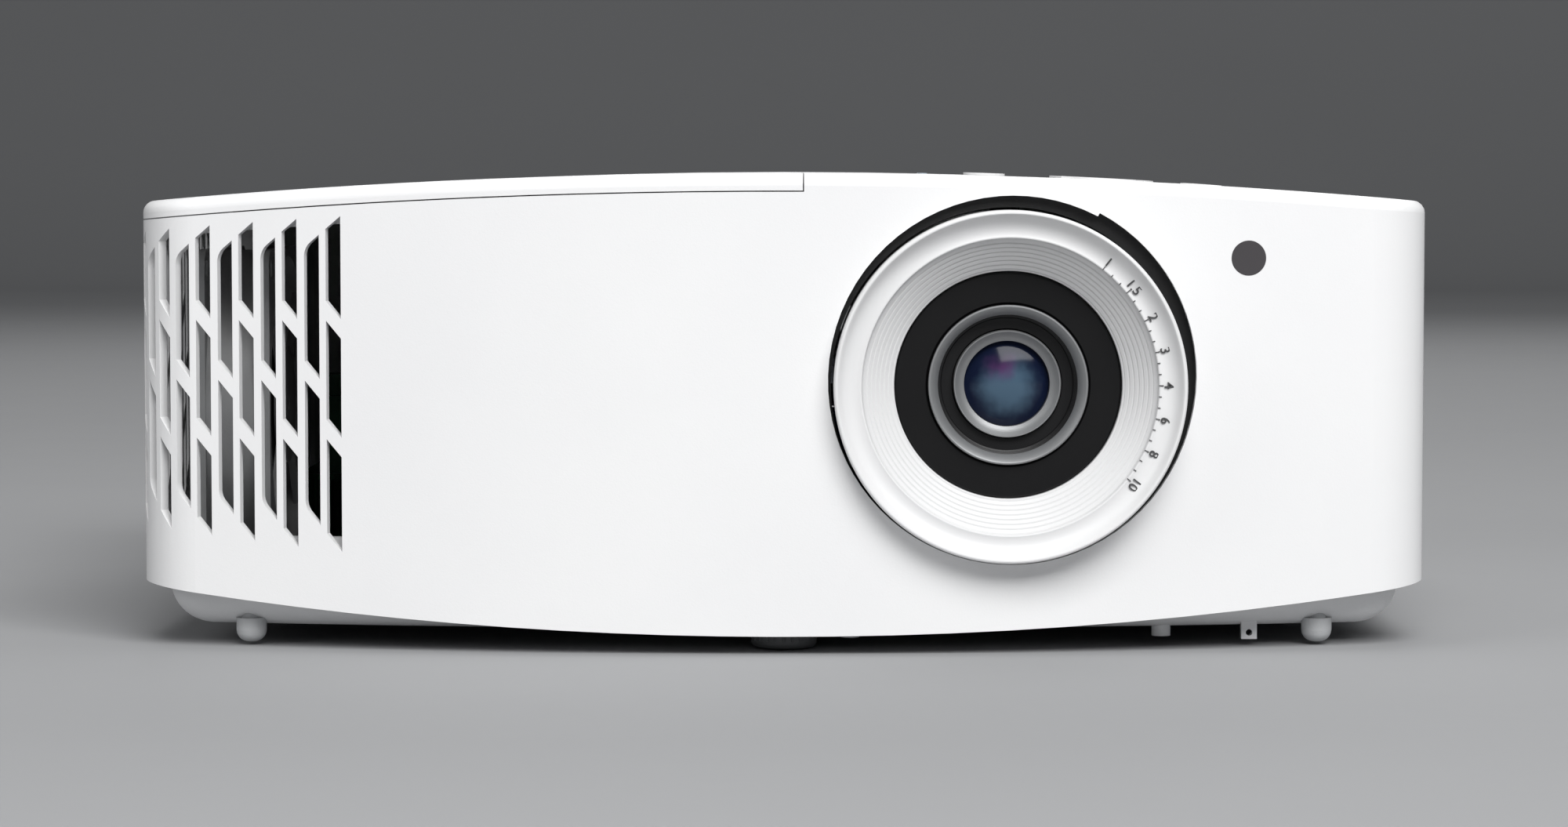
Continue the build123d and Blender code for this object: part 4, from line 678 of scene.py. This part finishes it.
# printed symbols on the keys
def inkPiece(name, corners, body, z, thick=0.05):
    # flat outlines, each a list of (x, y) in mm, drawn up into one thin printed piece
    parts = []
    for outline in corners:
        clearPick()
        bpy.ops.mesh.primitive_circle_add(vertices=len(outline), radius=mm, fill_type="NGON")
        part = bpy.context.object
        for vert, (x, y) in zip(part.data.vertices, outline):
            vert.co = (x * mm, y * mm, z)
        editOn(part, "FACE")
        bpy.ops.mesh.select_all(action="SELECT")
        bpy.ops.mesh.extrude_region_move(TRANSFORM_OT_translate={"value": (0, 0, thick * mm)})
        bpy.ops.mesh.select_all(action="SELECT")
        bpy.ops.mesh.normals_make_consistent(inside=False)
        editOff()
        parts.append(part)
    pickOnly(*parts)
    if len(parts) > 1:
        bpy.ops.object.join()
    piece = bpy.context.object
    piece.name = name
    return dressed(piece, body, finishes["inkGrey"])


def ringBars(x, y, radius, width, opening, count=14):
    # short bars round a circle, left open at its top, and one upright bar: the on-off sign
    bars = []
    start, end = 90 + opening, 450 - opening
    for i in range(count):
        a0, a1 = (math.radians(start + (end - start) * (i + k) / count) for k in (0, 1))
        inner, outer = radius - width / 2, radius + width / 2
        bars.append([(x + r * math.cos(a), y + r * math.sin(a))
                     for r, a in ((inner, a0), (outer, a0), (outer, a1), (inner, a1))])
    bars.append([(x - width / 2, y), (x + width / 2, y),
                 (x + width / 2, y + 1.15 * radius), (x - width / 2, y + 1.15 * radius)])
    return bars


def buildSymbols():
    symbol = {"arrow": 1.5, "ring": 1.9, "line": 0.42, "opening": 38, "menuHalf": 2.1,
              "menuStep": 1.0, "sink": 0.02}
    for name, turn in (("right", 0), ("up", 90), ("left", 180), ("down", 270)):
        low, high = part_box("key_" + name)
        x, y = (1000 * (low[i] + high[i]) / 2 for i in (0, 1))
        angles = [math.radians(turn + step) for step in (0, 130, 230)]
        tip = [(x + symbol["arrow"] * math.cos(a), y + symbol["arrow"] * math.sin(a))
               for a in angles]
        inkPiece("arrow_" + name, [tip], "key_" + name, high[2] - symbol["sink"] * mm)
    low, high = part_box("key_power")
    x, y = (1000 * (low[i] + high[i]) / 2 for i in (0, 1))
    bars = ringBars(x, y, symbol["ring"], symbol["line"], symbol["opening"])
    inkPiece("sign_power", bars, "key_power", high[2] - symbol["sink"] * mm)
    low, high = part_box("key_menu")
    x, y = (1000 * (low[i] + high[i]) / 2 for i in (0, 1))
    half, line = symbol["menuHalf"], symbol["line"] / 2
    lines = [[(x - half, y + dy - line), (x + half, y + dy - line),
              (x + half, y + dy + line), (x - half, y + dy + line)]
             for dy in (-symbol["menuStep"], 0, symbol["menuStep"])]
    inkPiece("sign_menu", lines, "key_menu", high[2] - symbol["sink"] * mm)
    low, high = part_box("key_enter")
    x, y = (1000 * (low[i] + high[i]) / 2 for i in (0, 1))
    dot = [(x + 1.1 * math.cos(a), y + 1.1 * math.sin(a))
           for a in (2 * math.pi * i / 20 for i in range(20))]
    inkPiece("sign_enter", [dot], "key_enter", high[2] - symbol["sink"] * mm)


buildSymbols()
print("key symbols ready")


# floor, lights and camera
def buildStage():
    # one sheet: floor, a wide bend and a wall behind
    stage = {"colour": (0.34, 0.343, 0.35), "size": 7.0, "middleY": 1.0, "wall": 4.0,
             "bend": 1.6, "room": (0.93, 0.96, 1.0), "roomStrength": 0.11}
    clearPick()
    bpy.ops.mesh.primitive_plane_add(size=stage["size"], location=(0, stage["middleY"], -0.0002))
    sheet = bpy.context.object
    sheet.name = "paleSheet"
    settle(sheet)
    for vert in sheet.data.vertices:
        vert.select = vert.co.y > stage["middleY"]
    for edge in sheet.data.edges:
        edge.select = all(sheet.data.vertices[v].co.y > stage["middleY"] for v in edge.vertices)
    for face in sheet.data.polygons:
        face.select = False
    editOn(sheet, "EDGE")
    bpy.ops.mesh.extrude_edges_move(TRANSFORM_OT_translate={"value": (0, 0, stage["wall"])})
    editOff()
    farY = stage["middleY"] + stage["size"] / 2
    for edge in sheet.data.edges:
        ends = [sheet.data.vertices[v].co for v in edge.vertices]
        edge.select = all(v.y > farY - 0.01 and v.z < 0.01 for v in ends)
    for vert in sheet.data.vertices:
        vert.select = vert.co.y > farY - 0.01 and vert.co.z < 0.01
    editOn(sheet, "EDGE")
    bpy.ops.mesh.bevel(offset=stage["bend"], segments=24, affect="EDGES")
    bpy.ops.mesh.select_all(action="SELECT")
    bpy.ops.mesh.normals_make_consistent(inside=False)
    editOff()
    smoothed(sheet, 40)
    paint = finishOf("sheetPaint", {"colour": stage["colour"], "other": (0.33, 0.333, 0.34),
                                    "rough": 0.8, "driftScale": 1.5, "bump": 0.02,
                                    "shader": {"Specular IOR Level": 0.2}})
    sheet.data.materials.append(paint)
    world = bpy.data.worlds.new("paleRoom")
    bpy.context.scene.world = world
    world.use_nodes = True
    background = world.node_tree.nodes["Background"]
    background.inputs["Color"].default_value = rgba(stage["room"])
    background.inputs["Strength"].default_value = stage["roomStrength"]


def areaLight(name, place, aim, width, height, power, colour=(1, 1, 1)):
    clearPick()
    bpy.ops.object.light_add(type="AREA", location=place)
    lamp = bpy.context.object
    lamp.name = name
    lamp.data.shape = "RECTANGLE"
    lamp.data.size, lamp.data.size_y = width, height
    lamp.data.energy, lamp.data.color = power, colour
    lamp.rotation_mode = "QUATERNION"
    lamp.rotation_quaternion = (Vector(aim) - Vector(place)).to_track_quat("-Z", "Y")
    return lamp


def lightScene():
    target = (0, -0.05, 0.06)
    areaLight("keyHighFront", (0.6, -1.8, 1.75), target, 1.9, 1.4, 76)
    areaLight("fillLeft", (-1.9, -1.3, 1.3), target, 1.2, 1.0, 10)
    areaLight("topSoft", (0.0, 0.2, 1.9), target, 1.8, 1.4, 7)
    areaLight("rimBehind", (0.2, 1.7, 1.1), target, 1.4, 0.6, 6)
    bpy.context.scene.view_settings.view_transform = "Standard"


def aimCamera():
    camera = bpy.data.cameras.new("frontView")
    thing = bpy.data.objects.new("frontView", camera)
    bpy.context.scene.collection.objects.link(thing)
    camera.lens, camera.sensor_width = shot["lens"], shot["sensor"]
    camera.dof.use_dof = False
    camera.clip_start, camera.clip_end = 0.01, 50
    thing.location = shot["place"]
    thing.rotation_euler = (math.radians(90 + shot["pitch"]), 0, 0)
    bpy.context.scene.camera = thing


buildStage()
lightScene()
aimCamera()
print("stage ready")

bpy.context.view_layer.update()
